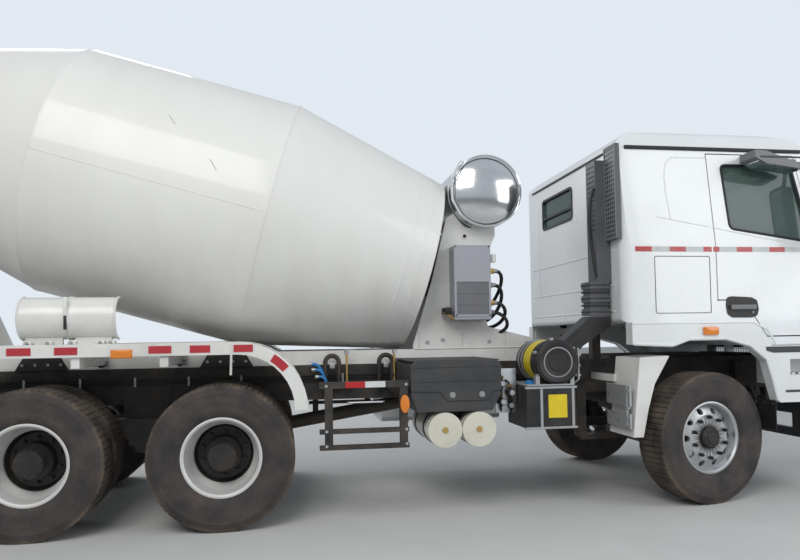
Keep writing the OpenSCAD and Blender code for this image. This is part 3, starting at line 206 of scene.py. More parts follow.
bladeSteel = metal("bladeSteel", (0.36, 0.34, 0.31), 0.5, 0.2)
boltSteel = metal("boltSteel", (0.42, 0.42, 0.42), 0.4, 0.2)
mirrorGlass = metal("mirrorGlass", (0.85, 0.87, 0.88), 0.02, 0.01)
cabTape = tape("cabTape", 0.307, 0.147, 2.597, white=(0.50, 0.52, 0.51))
# Grey for the strokes at the drum's dents: painted shade
scuffGrey = plain("scuffGrey", (0.46, 0.46, 0.44), 0.6, 60, 0.0003)
redTape = plain("redTape", (0.46, 0.03, 0.04), 0.35, 300, 0.0002, 0.3)
galvanised = dusty("galvanised", (0.42, 0.43, 0.44), (0.26, 0.23, 0.19), 0.4, 0.42, 120, 0.0004, 0.7)
intakeGrey = dusty("intakeGrey", (0.085, 0.092, 0.105), (0.20, 0.18, 0.16), 0.25, 0.42, 220, 0.0003)
coolerGrey = dusty("coolerGrey", (0.36, 0.37, 0.41), (0.30, 0.28, 0.25), 0.3, 0.4, 90, 0.0003, 0.2)
coolerFins = dusty("coolerFins", (0.20, 0.20, 0.22), (0.32, 0.30, 0.27), 0.5, 0.5, 150, 0.0006, 0.3)
amberLens = plain("amberLens", (0.80, 0.24, 0.02), 0.18, 200, 0.0006, 0.5)
redLens = plain("redLens", (0.50, 0.02, 0.02), 0.18, 200, 0.0006, 0.5)
clearLens = plain("clearLens", (0.70, 0.72, 0.73), 0.08, 150, 0.0006, 0.8)
warnYellow = plain("warnYellow", (0.78, 0.60, 0.02), 0.45)
blueCap = plain("blueCap", (0.03, 0.22, 0.55), 0.4)
sealRubber = plain("sealRubber", (0.010, 0.010, 0.011), 0.6, 150)
seatCloth = plain("seatCloth", (0.035, 0.037, 0.042), 0.9, 500, 0.002)
cabInside = plain("cabInside", (0.10, 0.10, 0.105), 0.7, 200, 0.0008)


def glassMaterial(name, colour, alpha):
    material, tree, shader = newMaterial(name, 0.02, 0.0, 0.0, alpha, 1.5)
    cloud = rampOf(tree, noiseOf(tree, 1.4, 2), 0.3, 0.7)
    socketIn(shader, "Base Color", mixColour(tree, cloud, [*colour, 1], [*(c * 0.8 for c in colour), 1]))
    return material


greenGlass = glassMaterial("greenGlass", (0.10, 0.16, 0.14), 0.62)
print("materials made")


# Helpers for pieces
def addPiece(name, bm, body, slotName, *materials, smooth=False, standsFor=()):
    bmesh.ops.remove_doubles(bm, verts=bm.verts, dist=0.00005)
    bmesh.ops.recalc_face_normals(bm, faces=bm.faces)
    mesh = bpy.data.meshes.new(name)
    bm.to_mesh(mesh)
    bm.free()
    for material in materials:
        mesh.materials.append(material)
    mesh.polygons.foreach_set("use_smooth", [smooth] * len(mesh.polygons))
    piece = bpy.data.objects.new(name, mesh)
    bpy.context.scene.collection.objects.link(piece)
    if smooth:
        mesh.set_sharp_from_angle(angle=math.radians(35))
    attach(piece, body)
    if standsFor:
        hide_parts(*standsFor)
    return piece


def blockIn(bm, low, high, bevel=0.0, segments=2, index=0):
    size = [h - l for l, h in zip(low, high)]
    middle = [(h + l) / 2 for l, h in zip(low, high)]
    made = bmesh.ops.create_cube(bm, size=1.0)["verts"]
    bmesh.ops.scale(bm, vec=size, verts=made)
    bmesh.ops.translate(bm, vec=middle, verts=made)
    faces = {f for v in made for f in v.link_faces}
    for f in faces:
        f.material_index = index
    if bevel:
        edges = list({e for v in made for e in v.link_edges})
        bmesh.ops.bevel(bm, geom=edges, offset=bevel, segments=segments, profile=0.5, affect="EDGES",
                        material=-1)


def rodIn(bm, a, b, radius, sides=12, index=0, endRadius=None):
    a, b = Vector(a), Vector(b)
    turn = (b - a).to_track_quat("Z", "Y").to_matrix().to_4x4()
    made = bmesh.ops.create_cone(bm, cap_ends=True, segments=sides, radius1=radius,
                                 radius2=radius if endRadius is None else endRadius, depth=(b - a).length,
                                 matrix=Matrix.Translation((a + b) / 2) @ turn)["verts"]
    for f in {f for v in made for f in v.link_faces}:
        f.material_index = index


def spinProfile(bm, profile, place, steps=64, index=0, closed=False):
    verts = [bm.verts.new((r, 0, h)) for r, h in profile]
    edges = [bm.edges.new((verts[i], verts[i + 1])) for i in range(len(verts) - 1)]
    if closed:
        edges.append(bm.edges.new((verts[-1], verts[0])))
    known = set(bm.faces)
    bmesh.ops.spin(bm, geom=verts + edges, cent=(0, 0, 0), axis=(0, 0, 1), angle=2 * math.pi, steps=steps,
                   use_merge=True, use_duplicate=False)
    faces = [f for f in bm.faces if f not in known]
    for f in faces:
        f.material_index = index
    made = list({v for f in faces for v in f.verts})
    bmesh.ops.transform(bm, matrix=place, verts=made)
    return faces


def boltsIn(bm, places, axis, radius, height, index=0):
    axis = Vector(axis)
    for place in places:
        rodIn(bm, place, Vector(place) + axis * height, radius, 6, index)


# Copies a finished part into a piece
def mergeIn(bm, part, index=None):
    if index is not None:
        for f in part.faces:
            f.material_index = index
    mesh = bpy.data.meshes.new("part")
    part.to_mesh(mesh)
    part.free()
    bm.from_mesh(mesh)
    bpy.data.meshes.remove(mesh)


def roundedFace(corners, radius, segments=4):
    part = bmesh.new()
    verts = [part.verts.new(c) for c in corners]
    part.faces.new(verts)
    if radius:
        bmesh.ops.bevel(part, geom=verts, offset=radius, segments=segments, profile=0.5, affect="VERTICES",
                        material=-1)
    return part


def thicken(part, push, bevel=0.0):
    made = bmesh.ops.extrude_face_region(part, geom=list(part.faces))["geom"]
    moved = [v for v in made if isinstance(v, bmesh.types.BMVert)]
    bmesh.ops.translate(part, vec=push, verts=moved)
    if bevel:
        rim = [e for e in part.edges if all(v in moved for v in e.verts) and len(e.link_faces) == 2
               and abs(e.link_faces[0].normal.dot(e.link_faces[1].normal)) < 0.5]
        bmesh.ops.recalc_face_normals(part, faces=part.faces)
        bmesh.ops.bevel(part, geom=rim, offset=bevel, segments=2, profile=0.5, affect="EDGES", material=-1)


# A plate with rounded corners, thick by the push
def plateIn(bm, corners, push, index=0, radius=0.0, bevel=0.0):
    part = roundedFace(corners, radius)
    thicken(part, push, bevel)
    mergeIn(bm, part, index)


# A frame of a given width along the inside of an outline
def sealIn(bm, corners, radius, width, push, index=0):
    part = roundedFace(corners, radius)
    inner = list(part.faces)
    bmesh.ops.inset_region(part, faces=inner, thickness=width, use_boundary=True, use_even_offset=True)
    bmesh.ops.delete(part, geom=inner, context="FACES")
    thicken(part, push)
    mergeIn(bm, part, index)


# A pipe or bead through a list of points
def tubeIn(bm, points, radius, sides=8, index=0):
    points = [Vector(p) for p in points]
    way = (points[1] - points[0]).normalized()
    turn = way.to_track_quat("Z", "Y").to_matrix().to_4x4()
    ring = bmesh.ops.create_circle(bm, cap_ends=True, segments=sides, radius=radius,
                                   matrix=Matrix.Translation(points[0]) @ turn)["verts"]
    cap = ring[0].link_faces[0]
    faces = {cap}

    def grow():
        made = bmesh.ops.extrude_face_region(bm, geom=[cap])["geom"]
        return ([v for v in made if isinstance(v, bmesh.types.BMVert)],
                next(f for f in made if isinstance(f, bmesh.types.BMFace)))

    for i in range(1, len(points)):
        verts, cap = grow()
        bmesh.ops.translate(bm, vec=points[i] - points[i - 1], verts=verts)
        if i < len(points) - 1:
            following = (points[i + 1] - points[i]).normalized()
            middle = (way + following).normalized()
            bmesh.ops.rotate(bm, cent=points[i], matrix=way.rotation_difference(middle).to_matrix(),
                             verts=verts)
            way = following
            faces.update(f for v in verts for f in v.link_faces)
            verts, cap = grow()
            bmesh.ops.translate(bm, vec=following * radius * 0.2, verts=verts)
            bmesh.ops.rotate(bm, cent=points[i] + following * radius * 0.2,
                             matrix=middle.rotation_difference(following).to_matrix(), verts=verts)
            bmesh.ops.translate(bm, vec=-following * radius * 0.15, verts=verts)
        faces.update(f for v in verts for f in v.link_faces)
    for f in faces:
        f.material_index = index


def bend(a, b, outA, outB, count=10):
    a, b = Vector(a), Vector(b)
    return geometry.interpolate_bezier(a, a + Vector(outA), b + Vector(outB), b, count)


def xz(points, y, side=1):
    return [(x, y * side, z) for x, z in points]


def mirrored(points, side):
    return [(x, y * side, z) for x, y, z in points]


def rect(x0, x1, z0, z1):
    return [(x0, z0), (x1, z0), (x1, z1), (x0, z1)]


# A plate that stands out from a side face; y is given for the left side
def sidePlate(bm, side, points, y, proud, *rest):
    plateIn(bm, xz(points, y, side), (0, side * proud, 0), *rest)


# Rows of corners or ends, each with its bevel or radius and so on; y is given for the left side
def blocksIn(bm, rows, side=1):
    for (x0, y0, z0), (x1, y1, z1), *rest in rows:
        y0, y1 = sorted((y0 * side, y1 * side))
        blockIn(bm, (x0, y0, z0), (x1, y1, z1), *rest)


def rodsIn(bm, rows, side=1):
    for a, b, *rest in rows:
        rodIn(bm, *mirrored((a, b), side), *rest)


def tubesIn(bm, rows, side=1):
    for points, *rest in rows:
        tubeIn(bm, mirrored(points, side), *rest)


def circlePoints(radius, height, count, place, start=0.0):
    turns = [2 * math.pi * (i + start) / count for i in range(count)]
    return [place @ Vector((radius * math.cos(turn), radius * math.sin(turn), height)) for turn in turns]


# Points of an arc in the plane of x and z, angles in degrees
def arcXZ(x, z, radius, angles):
    turns = [math.radians(angle) for angle in angles]
    return [(x + radius * math.cos(turn), z + radius * math.sin(turn)) for turn in turns]


# A band around an axis, from height a to height b, with its edges below the surface
def bandIn(bm, place, radius, proud, a, b, steps, index=0, sunk=0.004, slope=0.0):
    spinProfile(bm, [(radius - sunk, a), (radius + proud, a + slope), (radius + proud, b - slope),
                     (radius - sunk, b)], place, steps, index)


# A flat grid of wires about the origin
def gridIn(bm, cells, size, wire):
    bmesh.ops.create_grid(bm, x_segments=cells[0], y_segments=cells[1], size=0.5)
    bmesh.ops.scale(bm, vec=(*size, 1), verts=bm.verts)
    bmesh.ops.wireframe(bm, faces=list(bm.faces), thickness=wire, use_replace=True, use_boundary=True,
                        use_even_offset=True)


# CAD nodes and their finishes
finishes = {
    chassisBlack: ["frame", "springs", "guards", "knuckle_right", "knuckle_left"],
    oilyIron: ["axles", "driveline", "drum_drive", "engine"],
    bodyWhite: ["subframe", "mudguards", "hopper", "ladder", "spare_chutes", "chute_arm", "chute",
                "chute_flap"],
    darkPlastic: ["bumper", "battery_box", "front_flap"],
    intakeGrey: ["snorkel"],
    greyPlastic: ["mirror_right", "mirror_left"],
    blackPlastic: ["fluid_tank", "air_cleaner", "steering_wheel"],
    machineGrey: ["roller_right", "roller_left"],
    coolerGrey: ["oil_cooler"],
    tankCream: ["air_tanks"],
    polishedSteel: ["water_tank"],
    aluminium: ["fuel_tank"],
    clearLens: ["lamps"],
    cabWhite: ["cab_shell", "cab_roof", "cab_skirt", "door_right", "door_left"],
    greenGlass: ["cab_glass", "door_glass_right", "door_glass_left"],
    seatCloth: ["seats"],
    cabInside: ["dashboard"],
    drumCream: ["drum"],
    bladeSteel: ["drum_blades"],
}
for material, names in finishes.items():
    for nodeName in names:
        mesh = nodes[nodeName].data
        mesh.materials.clear()
        mesh.materials.append(material)

# Wheels: tyre and rim pieces built about their own axis, then set in place
sides = {"right": -1, "left": 1}
tyreSizes = {
    "outer": 0.540, "bead": 0.2973, "width": 0.310, "steps": 72, "twinGap": 0.35,
    "wall": [(0.0, 0.70), (0.012, 0.78), (0.03, 0.86), (0.075, 0.965), (0.082, 0.955), (0.10, 0.995),
             (0.14, 0.998), (0.175, 0.975), (0.18, 0.985)],
    "shoulder": [(0.035, 0.94), (0.012, 0.92), (0.002, 0.87), (0.0, 0.62), (0.0, 0.32)],
    "inside": (0.02, 0.6), "blockHeight": 0.012, "blockGap": 0.0045, "blocksTo": 0.88,
}
rimSizes = {"nuts": 10, "nutCircle": 0.1675, "nutRadius": 0.016, "nutHeight": 0.03,
            "studRadius": 0.009, "studHeight": 0.012, "capBolts": 8}
frontHub = {"brightFrom": 0.135, "nutsAt": 0.085, "cap": [(0, 0.135), (0.05, 0.135), (0.056, 0.125)],
            "boltCircle": 0.075, "boltsAt": 0.118, "bolt": (0.006, 0.008)}
twinHub = {"brightFrom": 0.222, "nutsAt": -0.165, "cap": None,
           "boltCircle": 0.085, "boltsAt": 0.058, "bolt": (0.007, 0.009)}


def wheelPlace(body, side):
    joint = jointOf[body]
    axis = Vector(joint["axis"]) * side
    if axis.y * side < 0:
        axis = -axis
    return Matrix.Translation(joint["pos_m"]) @ axis.to_track_quat("Z", "Y").to_matrix().to_4x4()


# Wall: height over the bead; shoulder: depth under the tread; each with its share of half the width
def addTyre(name, body, place):
    size = tyreSizes
    half = size["width"] / 2
    top = size["outer"] - size["blockHeight"]
    right = [(size["bead"] + up, half * share) for up, share in size["wall"]]
    right += [(top - down, half * share) for down, share in size["shoulder"]]
    left = [(r, -h) for r, h in reversed(right)]
    up, share = size["inside"]
    inner = [(size["bead"] + up, -half * share), (size["bead"] + up, half * share)]
    bm = bmesh.new()
    faces = spinProfile(bm, right + [(top, 0.0)] + left + inner, place, size["steps"], 0, closed=True)
    inverse = place.inverted()
    blocks = []
    for f in faces:
        c = inverse @ f.calc_center_median()
        out = math.hypot(c.x, c.y)
        if out > top - 0.02:
            f.material_index = 1
        if out > top - 0.005 and abs(c.z) < half * size["blocksTo"]:
            blocks.append(f)
    bmesh.ops.recalc_face_normals(bm, faces=bm.faces)
    bmesh.ops.inset_individual(bm, faces=blocks, thickness=size["blockGap"], depth=size["blockHeight"])
    addPiece(name, bm, body, "wheel", tyreRubber, treadRubber, smooth=True, standsFor=(body,))


# Copies the rim part of a wheel's CAD mesh, split off by its radius
def rimFrom(bm, node, place, brightFrom):
    source = bmesh.new()
    source.from_mesh(nodes[node].data)
    bmesh.ops.remove_doubles(source, verts=source.verts, dist=0.00005)
    inverse = place.inverted()

    def radius(at):
        p = inverse @ at
        return math.hypot(p.x, p.y)

    loose, tyres = set(source.verts), []
    while loose:
        island, todo = set(), [next(iter(loose))]
        while todo:
            v = todo.pop()
            if v in island:
                continue
            island.add(v)
            todo.extend(e.other_vert(v) for e in v.link_edges)
        loose -= island
        if max(radius(v.co) for v in island) > 0.4:
            tyres.extend(island)
    bmesh.ops.delete(source, geom=tyres, context="VERTS")
    for f in source.faces:
        f.material_index = 0 if radius(f.calc_center_median()) > brightFrom else 1
    mergeIn(bm, source)


def addRim(name, body, place, hub, material):
    bm = bmesh.new()
    rimFrom(bm, body, place, hub["brightFrom"])
    top = hub["nutsAt"] + rimSizes["nutHeight"]
    levels = [circlePoints(rimSizes["nutCircle"], height, rimSizes["nuts"], place, 0.5)
              for height in (hub["nutsAt"], top, top + rimSizes["studHeight"])]
    for foot, head, tip in zip(*levels):
        rodIn(bm, foot, head, rimSizes["nutRadius"], 6, 1)
        rodIn(bm, head, tip, rimSizes["studRadius"], 8, 1)
    if hub["cap"]:
        spinProfile(bm, hub["cap"], place, 24, 1)
    boltsIn(bm, circlePoints(hub["boltCircle"], hub["boltsAt"], rimSizes["capBolts"], place),
            place.to_3x3() @ Vector((0, 0, 1)), *hub["bolt"], 1)
    addPiece(name, bm, body, "wheel", material, hubDark, standsFor=(body,))


for sideName, side in sides.items():
    label = sideName.title()
    body = "wheel_front_" + sideName
    place = wheelPlace(body, side)
    addTyre("frontTyre" + label, body, place)
    addRim("frontRim" + label, body, place, frontHub, rimSilver)
    for axleName in ("mid", "rear"):
        body = "wheels_" + axleName + "_" + sideName
        place = wheelPlace(body, side)
        addTyre(axleName + "TyreOuter" + label, body, place)
        addTyre(axleName + "TyreInner" + label, body,
                place @ Matrix.Translation((0, 0, -tyreSizes["twinGap"])))
        addRim(axleName + "Rim" + label, body, place, twinHub, rimBright)
print("wheels made")

# Places that the details are set from, read off the frame
box = {name: [Vector(corner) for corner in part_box(name)] for name in nodes}
steerX = jointOf["knuckle_left"]["pos_m"][0]
midX = jointOf["wheels_mid_left"]["pos_m"][0]
rearX = jointOf["wheels_rear_left"]["pos_m"][0]
hubZ = jointOf["wheels_mid_left"]["pos_m"][2]
cabRear, cabFront = box["cab_shell"][0].x, box["cab_shell"][1].x
cabHalf = box["cab_shell"][1].y
gutterZ = box["cab_roof"][0].z
skirtHalf = box["cab_skirt"][1].y
bodyHalf = box["mudguards"][1].y
frameHalf = -box["battery_box"][1].y
cabLean = {"beltZ": 2.15, "lean": 0.052, "screenBack": 0.04, "screenLean": 0.21, "screenFoot": 2.08,
           "screenHigh": 0.88}


def sideY(z):
    share = max(0.0, (z - cabLean["beltZ"]) / (gutterZ - cabLean["beltZ"]))
    return cabHalf - cabLean["lean"] * share


def screenX(z):
    share = (z - cabLean["screenFoot"]) / cabLean["screenHigh"]
    return cabFront - cabLean["screenBack"] - cabLean["screenLean"] * share


# Cab: gutter, beads, panel lines, tape, seals
cabTrim = {
    "gutterX": (0.06, 4.19), "gutterLow": 2.958, "gutterProud": 0.018, "rearGutterHalf": 0.95,
    "line": 0.005, "lineProud": 0.0024, "bead": 0.007, "locker": (2.765, 3.268, 1.572, 2.052),
    "tapeZ": (2.089, 2.131), "tapeRear": (2.597, 3.288), "tapeDoor": (3.303, 4.22), "tapeProud": 0.003,
    "reliefs": [[(2.97, 2.895), (3.285, 2.90)],
                [(2.97, 2.895), (2.91, 2.84), (2.895, 2.74), (2.90, 2.58), (2.93, 2.37)],
                [(2.80, 2.385), (2.93, 2.362), (3.12, 2.328), (3.285, 2.302)]],
    "doorCrease": [(3.31, 2.298), (3.43, 2.272), (3.80, 2.205), (4.19, 2.150)],
    "window": [(0.300, 2.280), (1.080, 2.165), (0.940, 2.850), (0.250, 2.850)],
    "windowSeal": 0.020, "screenSeal": 0.035, "rearSeal": 0.022,
    "screen": [(-0.960, 2.110), (0.960, 2.110), (0.900, 2.890), (-0.900, 2.890)],
    "rearWindow": (-0.140, 0.660, 2.520, 2.850), "rearBarZ": (2.630, 2.655),
}
gutterStrip, lines, beads = bmesh.new(), bmesh.new(), bmesh.new()
start = cabRear + cabTrim["gutterX"][0]
low, high = cabTrim["gutterLow"], gutterZ + 0.004
for side in sides.values():
    inner, outer = ((sideY(gutterZ) + out) * side for out in (-0.004, cabTrim["gutterProud"]))
    plateIn(gutterStrip, [(start, inner, low), (start, outer, low + 0.006), (start, outer, high),
                          (start, inner, high)], (cabTrim["gutterX"][1] - start, 0, 0))
    sealIn(lines, xz(rect(*cabTrim["locker"]), cabHalf - 0.0005, side), 0.012, cabTrim["line"],
           (0, side * cabTrim["lineProud"], 0))
    for relief in cabTrim["reliefs"]:
        points = [(x, side * (sideY(z) - cabTrim["bead"] * 0.55), z) for x, z in relief]
        tubeIn(beads, points, cabTrim["bead"], 8)
half = cabTrim["rearGutterHalf"]
plateIn(gutterStrip, xz(rect(cabRear - 0.012, cabRear + 0.004, gutterZ - 0.012, gutterZ + 0.004), -half),
        (0, 2 * half, 0))
addPiece("cabGutter", gutterStrip, "cab", "dark_plastic", sealRubber)
addPiece("cabPanelLines", lines, "cab", "dark_plastic", sealRubber)
addPiece("cabBeads", beads, "cab", "cab_white", cabWhite, smooth=True)

for sideName, side in sides.items():
    door, label = "door_" + sideName, sideName.title()
    for kind, body in (("Rear", "cab"), ("Door", door)):
        strip = bmesh.new()
        sidePlate(strip, side, rect(*cabTrim["tape" + kind], *cabTrim["tapeZ"]), cabHalf - 0.0005,
                  cabTrim["tapeProud"])
        addPiece("cabTape" + label + kind, strip, body, "cab_white", cabTape)
    seal, bead = bmesh.new(), bmesh.new()
    window = [(steerX + x, side * (sideY(z) - 0.004), z) for x, z in cabTrim["window"]]
    sealIn(seal, window, 0.05, cabTrim["windowSeal"], (0, side * 0.007, 0.0004))
    addPiece("windowSeal" + label, seal, door, "dark_plastic", sealRubber)
    crease = [(x, side * (sideY(z) - cabTrim["bead"] * 0.5), z) for x, z in cabTrim["doorCrease"]]
    tubeIn(bead, crease, cabTrim["bead"], 8)
    addPiece("doorBead" + label, bead, door, "cab_white", cabWhite, smooth=True)
seal = bmesh.new()
sealIn(seal, [(screenX(z) + 0.001, y, z) for y, z in cabTrim["screen"]], 0.07, cabTrim["screenSeal"],
       (0.006, 0, 0.0015))
addPiece("screenSeal", seal, "cab", "dark_plastic", sealRubber)
seal = bmesh.new()
sealIn(seal, [(cabRear + 0.003, y, z) for y, z in rect(*cabTrim["rearWindow"])], 0.05, cabTrim["rearSeal"],
       (-0.011, 0, 0))
y0, y1 = cabTrim["rearWindow"][:2]
z0, z1 = cabTrim["rearBarZ"]
blockIn(seal, (cabRear - 0.006, y0 + 0.01, z0), (cabRear + 0.02, y1 - 0.01, z1), 0.003)
addPiece("rearWindowSeal", seal, "cab", "dark_plastic", sealRubber)

# Fold lines and ribs pressed into the rear wall
rearWall = {"folds": [1.60, 1.82, 2.12], "half": 0.98, "bead": 0.010, "uprights": [-0.62, 0.78],
            "uprightZ": (1.82, 2.93), "uprightBead": 0.008}
bm = bmesh.new()
for z in rearWall["folds"]:
    tubeIn(bm, [(cabRear + 0.004, y, z) for y in (-rearWall["half"], rearWall["half"])], rearWall["bead"], 8)
for y in rearWall["uprights"]:
    tubeIn(bm, [(cabRear + 0.004, y, z) for z in rearWall["uprightZ"]], rearWall["uprightBead"], 8)
addPiece("rearWallRibs", bm, "cab", "cab_white", cabWhite, smooth=True)

# Door handles: a dark dish with a grey grip
doorHandle = {
    "dish": [(3.400, 1.640), (3.412, 1.560), (3.455, 1.532), (3.640, 1.530), (3.688, 1.548), (3.704, 1.600),
             (3.690, 1.678), (3.640, 1.702), (3.450, 1.712), (3.412, 1.700)],
    "gripX": (3.435, 3.668), "gripZ": (1.598, 1.640), "gripProud": 0.034, "lock": (3.645, 1.575),
    "lockRadius": 0.012,
}
for sideName, side in sides.items():
    bm = bmesh.new()
    sidePlate(bm, side, doorHandle["dish"], cabHalf - 0.001, 0.009, 0, 0.012, 0.003)
    (x0, x1), (z0, z1) = doorHandle["gripX"], doorHandle["gripZ"]
    proud = doorHandle["gripProud"]
    blocksIn(bm, [((x0, cabHalf + 0.006, z0), (x1, cabHalf + proud, z1), 0.010, 3, 1)], side)
    x, z = doorHandle["lock"]
    rodsIn(bm, [((x, cabHalf, z), (x, cabHalf + 0.014, z), doorHandle["lockRadius"], 16, 1)], side)
    addPiece("doorHandle" + sideName.title(), bm, "door_" + sideName, "dark_plastic", blackPlastic,
             greyPlastic)

# Skirt: amber side lamp, dark step strip, treads and the flare's lip
skirtTrim = {
    "lamp": [(3.133, 1.389), (3.266, 1.389), (3.268, 1.454), (3.134, 1.456)],
    "strip": [(3.700, 1.283), (3.705, 1.250), (3.765, 1.232), (4.455, 1.232), (4.455, 1.283)],
    "lowLine": (3.870, 4.205, 0.898, 0.918),
    "treads": 8, "treadFrom": 0.775, "treadPitch": 0.058, "treadLong": 0.034, "treadWide": 0.17,
    "treadZ": (1.046, 1.060),
    "lip": [(-0.640, 1.318), (-0.300, 1.300), (-0.150, 1.350), (0.180, 1.350), (0.400, 1.290), (0.550, 1.170),
            (0.600, 1.000), (0.640, 0.832)],
    "upper": [(-0.640, 1.490), (0.430, 1.490), (0.560, 1.430), (0.640, 1.300)],
}
lamp, strip, lip = bmesh.new(), bmesh.new(), bmesh.new()
for side in sides.values():
    sidePlate(lamp, side, skirtTrim["lamp"], skirtHalf - 0.001, 0.020, 0, 0.010, 0.006)
    sidePlate(strip, side, skirtTrim["strip"], skirtHalf - 0.001, 0.006, 0, 0.006, 0.002)
    sidePlate(strip, side, rect(*skirtTrim["lowLine"]), skirtHalf - 0.001, 0.004)
    z0, z1 = skirtTrim["treadZ"]
    for i in range(skirtTrim["treads"]):
        x = steerX + skirtTrim["treadFrom"] + i * skirtTrim["treadPitch"]
        blocksIn(strip, [((x, skirtHalf - skirtTrim["treadWide"], z0),
                          (x + skirtTrim["treadLong"], skirtHalf - 0.004, z1), 0.004, 2, 1)], side)
    tubeIn(lip, [(steerX + x, side * (skirtHalf - 0.006), z + 0.008) for x, z in skirtTrim["lip"]], 0.015, 10)
    tubeIn(lip, [(steerX + x, side * (skirtHalf - 0.003), z) for x, z in skirtTrim["upper"]], 0.009, 8)
addPiece("sideMarkerLamps", lamp, "cab", "lamp", amberLens, smooth=True)
addPiece("stepTrim", strip, "cab", "dark_plastic", darkPlastic, aluminium)
addPiece("archLips", lip, "cab", "cab_white", cabWhite, smooth=True)

# Air intake: perforated face with its holes drawn as near-black faces of painted shade, slats, the pipe down
# the wall and the bellows under the duct
intake = {
    "x": cabRear - 0.040, "y": (-1.125, -0.935), "z": (2.215, 2.985), "cells": (5, 20), "hole": 0.011,
    "corner": 0.0045, "slats": 14, "slatFrom": 2.30, "slatPitch": 0.042, "slatY": (-0.905, -0.775),
    "slatX": cabRear - 0.130, "folds": 5, "foldFrom": 1.593, "foldPitch": 0.057, "foldY": (-0.936, -0.744),
}
bm = bmesh.new()
(y0, y1), (z0, z1) = intake["y"], intake["z"]
width, height = y1 - y0, z1 - z0
bmesh.ops.create_grid(bm, x_segments=intake["cells"][1], y_segments=intake["cells"][0], size=0.5)
bmesh.ops.scale(bm, vec=(height, width, 1), verts=bm.verts)
cells = list(bm.faces)
bmesh.ops.inset_individual(bm, faces=cells, thickness=intake["hole"])
corners = list({v for f in cells for v in f.verts})
bmesh.ops.bevel(bm, geom=corners, offset=intake["corner"], segments=1, profile=0.5, affect="VERTICES",
                material=-1)
cellArea = width * height / (intake["cells"][0] * intake["cells"][1])
# Each hole is a closed near-black face: painted shade in place of the opening
for f in bm.faces:
    whole = len(f.verts) == 8 and all(len(e.link_faces) == 2 for e in f.edges)
    f.material_index = 1 if whole and f.calc_area() < cellArea * 0.5 else 0
centre = Matrix.Translation((intake["x"] - 0.003, (y0 + y1) / 2, (z0 + z1) / 2))
bmesh.ops.transform(bm, matrix=centre @ Matrix.Rotation(-math.pi / 2, 4, "Y"), verts=bm.verts)
bmesh.ops.recalc_face_normals(bm, faces=bm.faces)
if bm.faces[:][0].normal.x > 0:
    bmesh.ops.reverse_faces(bm, faces=bm.faces)
sealIn(bm, [(intake["x"] + 0.001, y, z) for y, z in rect(y0 - 0.004, y1 + 0.004, z0 - 0.012, z1 + 0.012)],
       0.01, 0.012, (-0.008, 0, 0))
mesh = bpy.data.meshes.new("intakeGrille")
bm.to_mesh(mesh)
bm.free()
mesh.materials.append(greyPlastic)
mesh.materials.append(sealRubber)
grille = bpy.data.objects.new("intakeGrille", mesh)
bpy.context.scene.collection.objects.link(grille)
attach(grille, "cab")
bm = bmesh.new()
x, (y0, y1) = intake["slatX"], intake["slatY"]
for i in range(intake["slats"]):
    z = intake["slatFrom"] + i * intake["slatPitch"]
    blockIn(bm, (x - 0.004, y0, z), (x + 0.002, y1, z + 0.012), 0.0015)
tubeIn(bm, bend((x - 0.006, -0.915, 2.66), (x - 0.006, -0.925, 1.90), (-0.075, 0.01, -0.18),
                (-0.035, 0.0, 0.22), 14), 0.014, 10, 1)
y0, y1 = intake["foldY"]
for i in range(intake["folds"]):
    z = intake["foldFrom"] + i * intake["foldPitch"]
    blockIn(bm, (cabRear - 0.206, y0, z), (cabRear - 0.016, y1, z + 0.016), 0.006)
addPiece("intakeTrim", bm, "cab", "dark_plastic", darkPlastic, blackPlastic)
print("cab outside made")

# Front of the cab: wipers, grille mesh and bars
frontTrim = {
    "wipers": [(-0.62, -0.02), (0.10, 0.70)], "wiperFoot": 2.075, "armTop": (0.36, 2.32),
    "bladeZ": (2.17, 2.46), "mesh": (0.80, 1.190, 1.660), "meshCells": (40, 12), "meshWire": 0.005,
    "bars": 5, "barFrom": 1.180, "barPitch": 0.110, "barHalf": 0.81, "badgeBar": (0.60, 1.735, 1.765),
}
bm = bmesh.new()
footZ, (armY, armZ) = frontTrim["wiperFoot"], frontTrim["armTop"]
bladeLow, bladeHigh = frontTrim["bladeZ"]
for foot, tip in frontTrim["wipers"]:
    a = Vector((screenX(footZ) + 0.018, foot, footZ))
    b = Vector((screenX(armZ) + 0.030, foot + armY, armZ))
    rodIn(bm, a - Vector((0.03, 0, 0)), a + Vector((0.012, 0, 0)), 0.020, 12)
    tubeIn(bm, [a, a + (b - a) * 0.35 + Vector((0.012, 0, 0)), b], 0.008, 8)
    low = Vector((screenX(bladeLow) + 0.014, foot + 0.04, bladeLow))
    high = Vector((screenX(bladeHigh) + 0.014, tip + 0.02, bladeHigh))
    tubeIn(bm, [low, (low + high) / 2 + Vector((0.004, 0, 0)), high], 0.007, 6)
addPiece("wipers", bm, "cab", "dark_plastic", blackPlastic)
bm = bmesh.new()
half, z0, z1 = frontTrim["mesh"]
gridIn(bm, frontTrim["meshCells"], (2 * half, z1 - z0), frontTrim["meshWire"])
bmesh.ops.transform(bm, matrix=Matrix.Translation((box["front_flap"][0].x + 0.010, 0, (z0 + z1) / 2))
                    @ Matrix.Rotation(math.pi / 2, 4, "Z") @ Matrix.Rotation(math.pi / 2, 4, "X"),
                    verts=bm.verts)
addPiece("grilleMesh", bm, "front_flap", "dark_plastic", blackPlastic)
bm = bmesh.new()
flapFace, half = box["front_flap"][1].x, frontTrim["barHalf"]
for i in range(frontTrim["bars"]):
    z = frontTrim["barFrom"] + frontTrim["barPitch"] * i
    for at in (z - 0.012, z + 0.060):
        blockIn(bm, (flapFace - 0.004, -half, at), (flapFace + 0.010, half, at + 0.012), 0.004)
half, z0, z1 = frontTrim["badgeBar"]
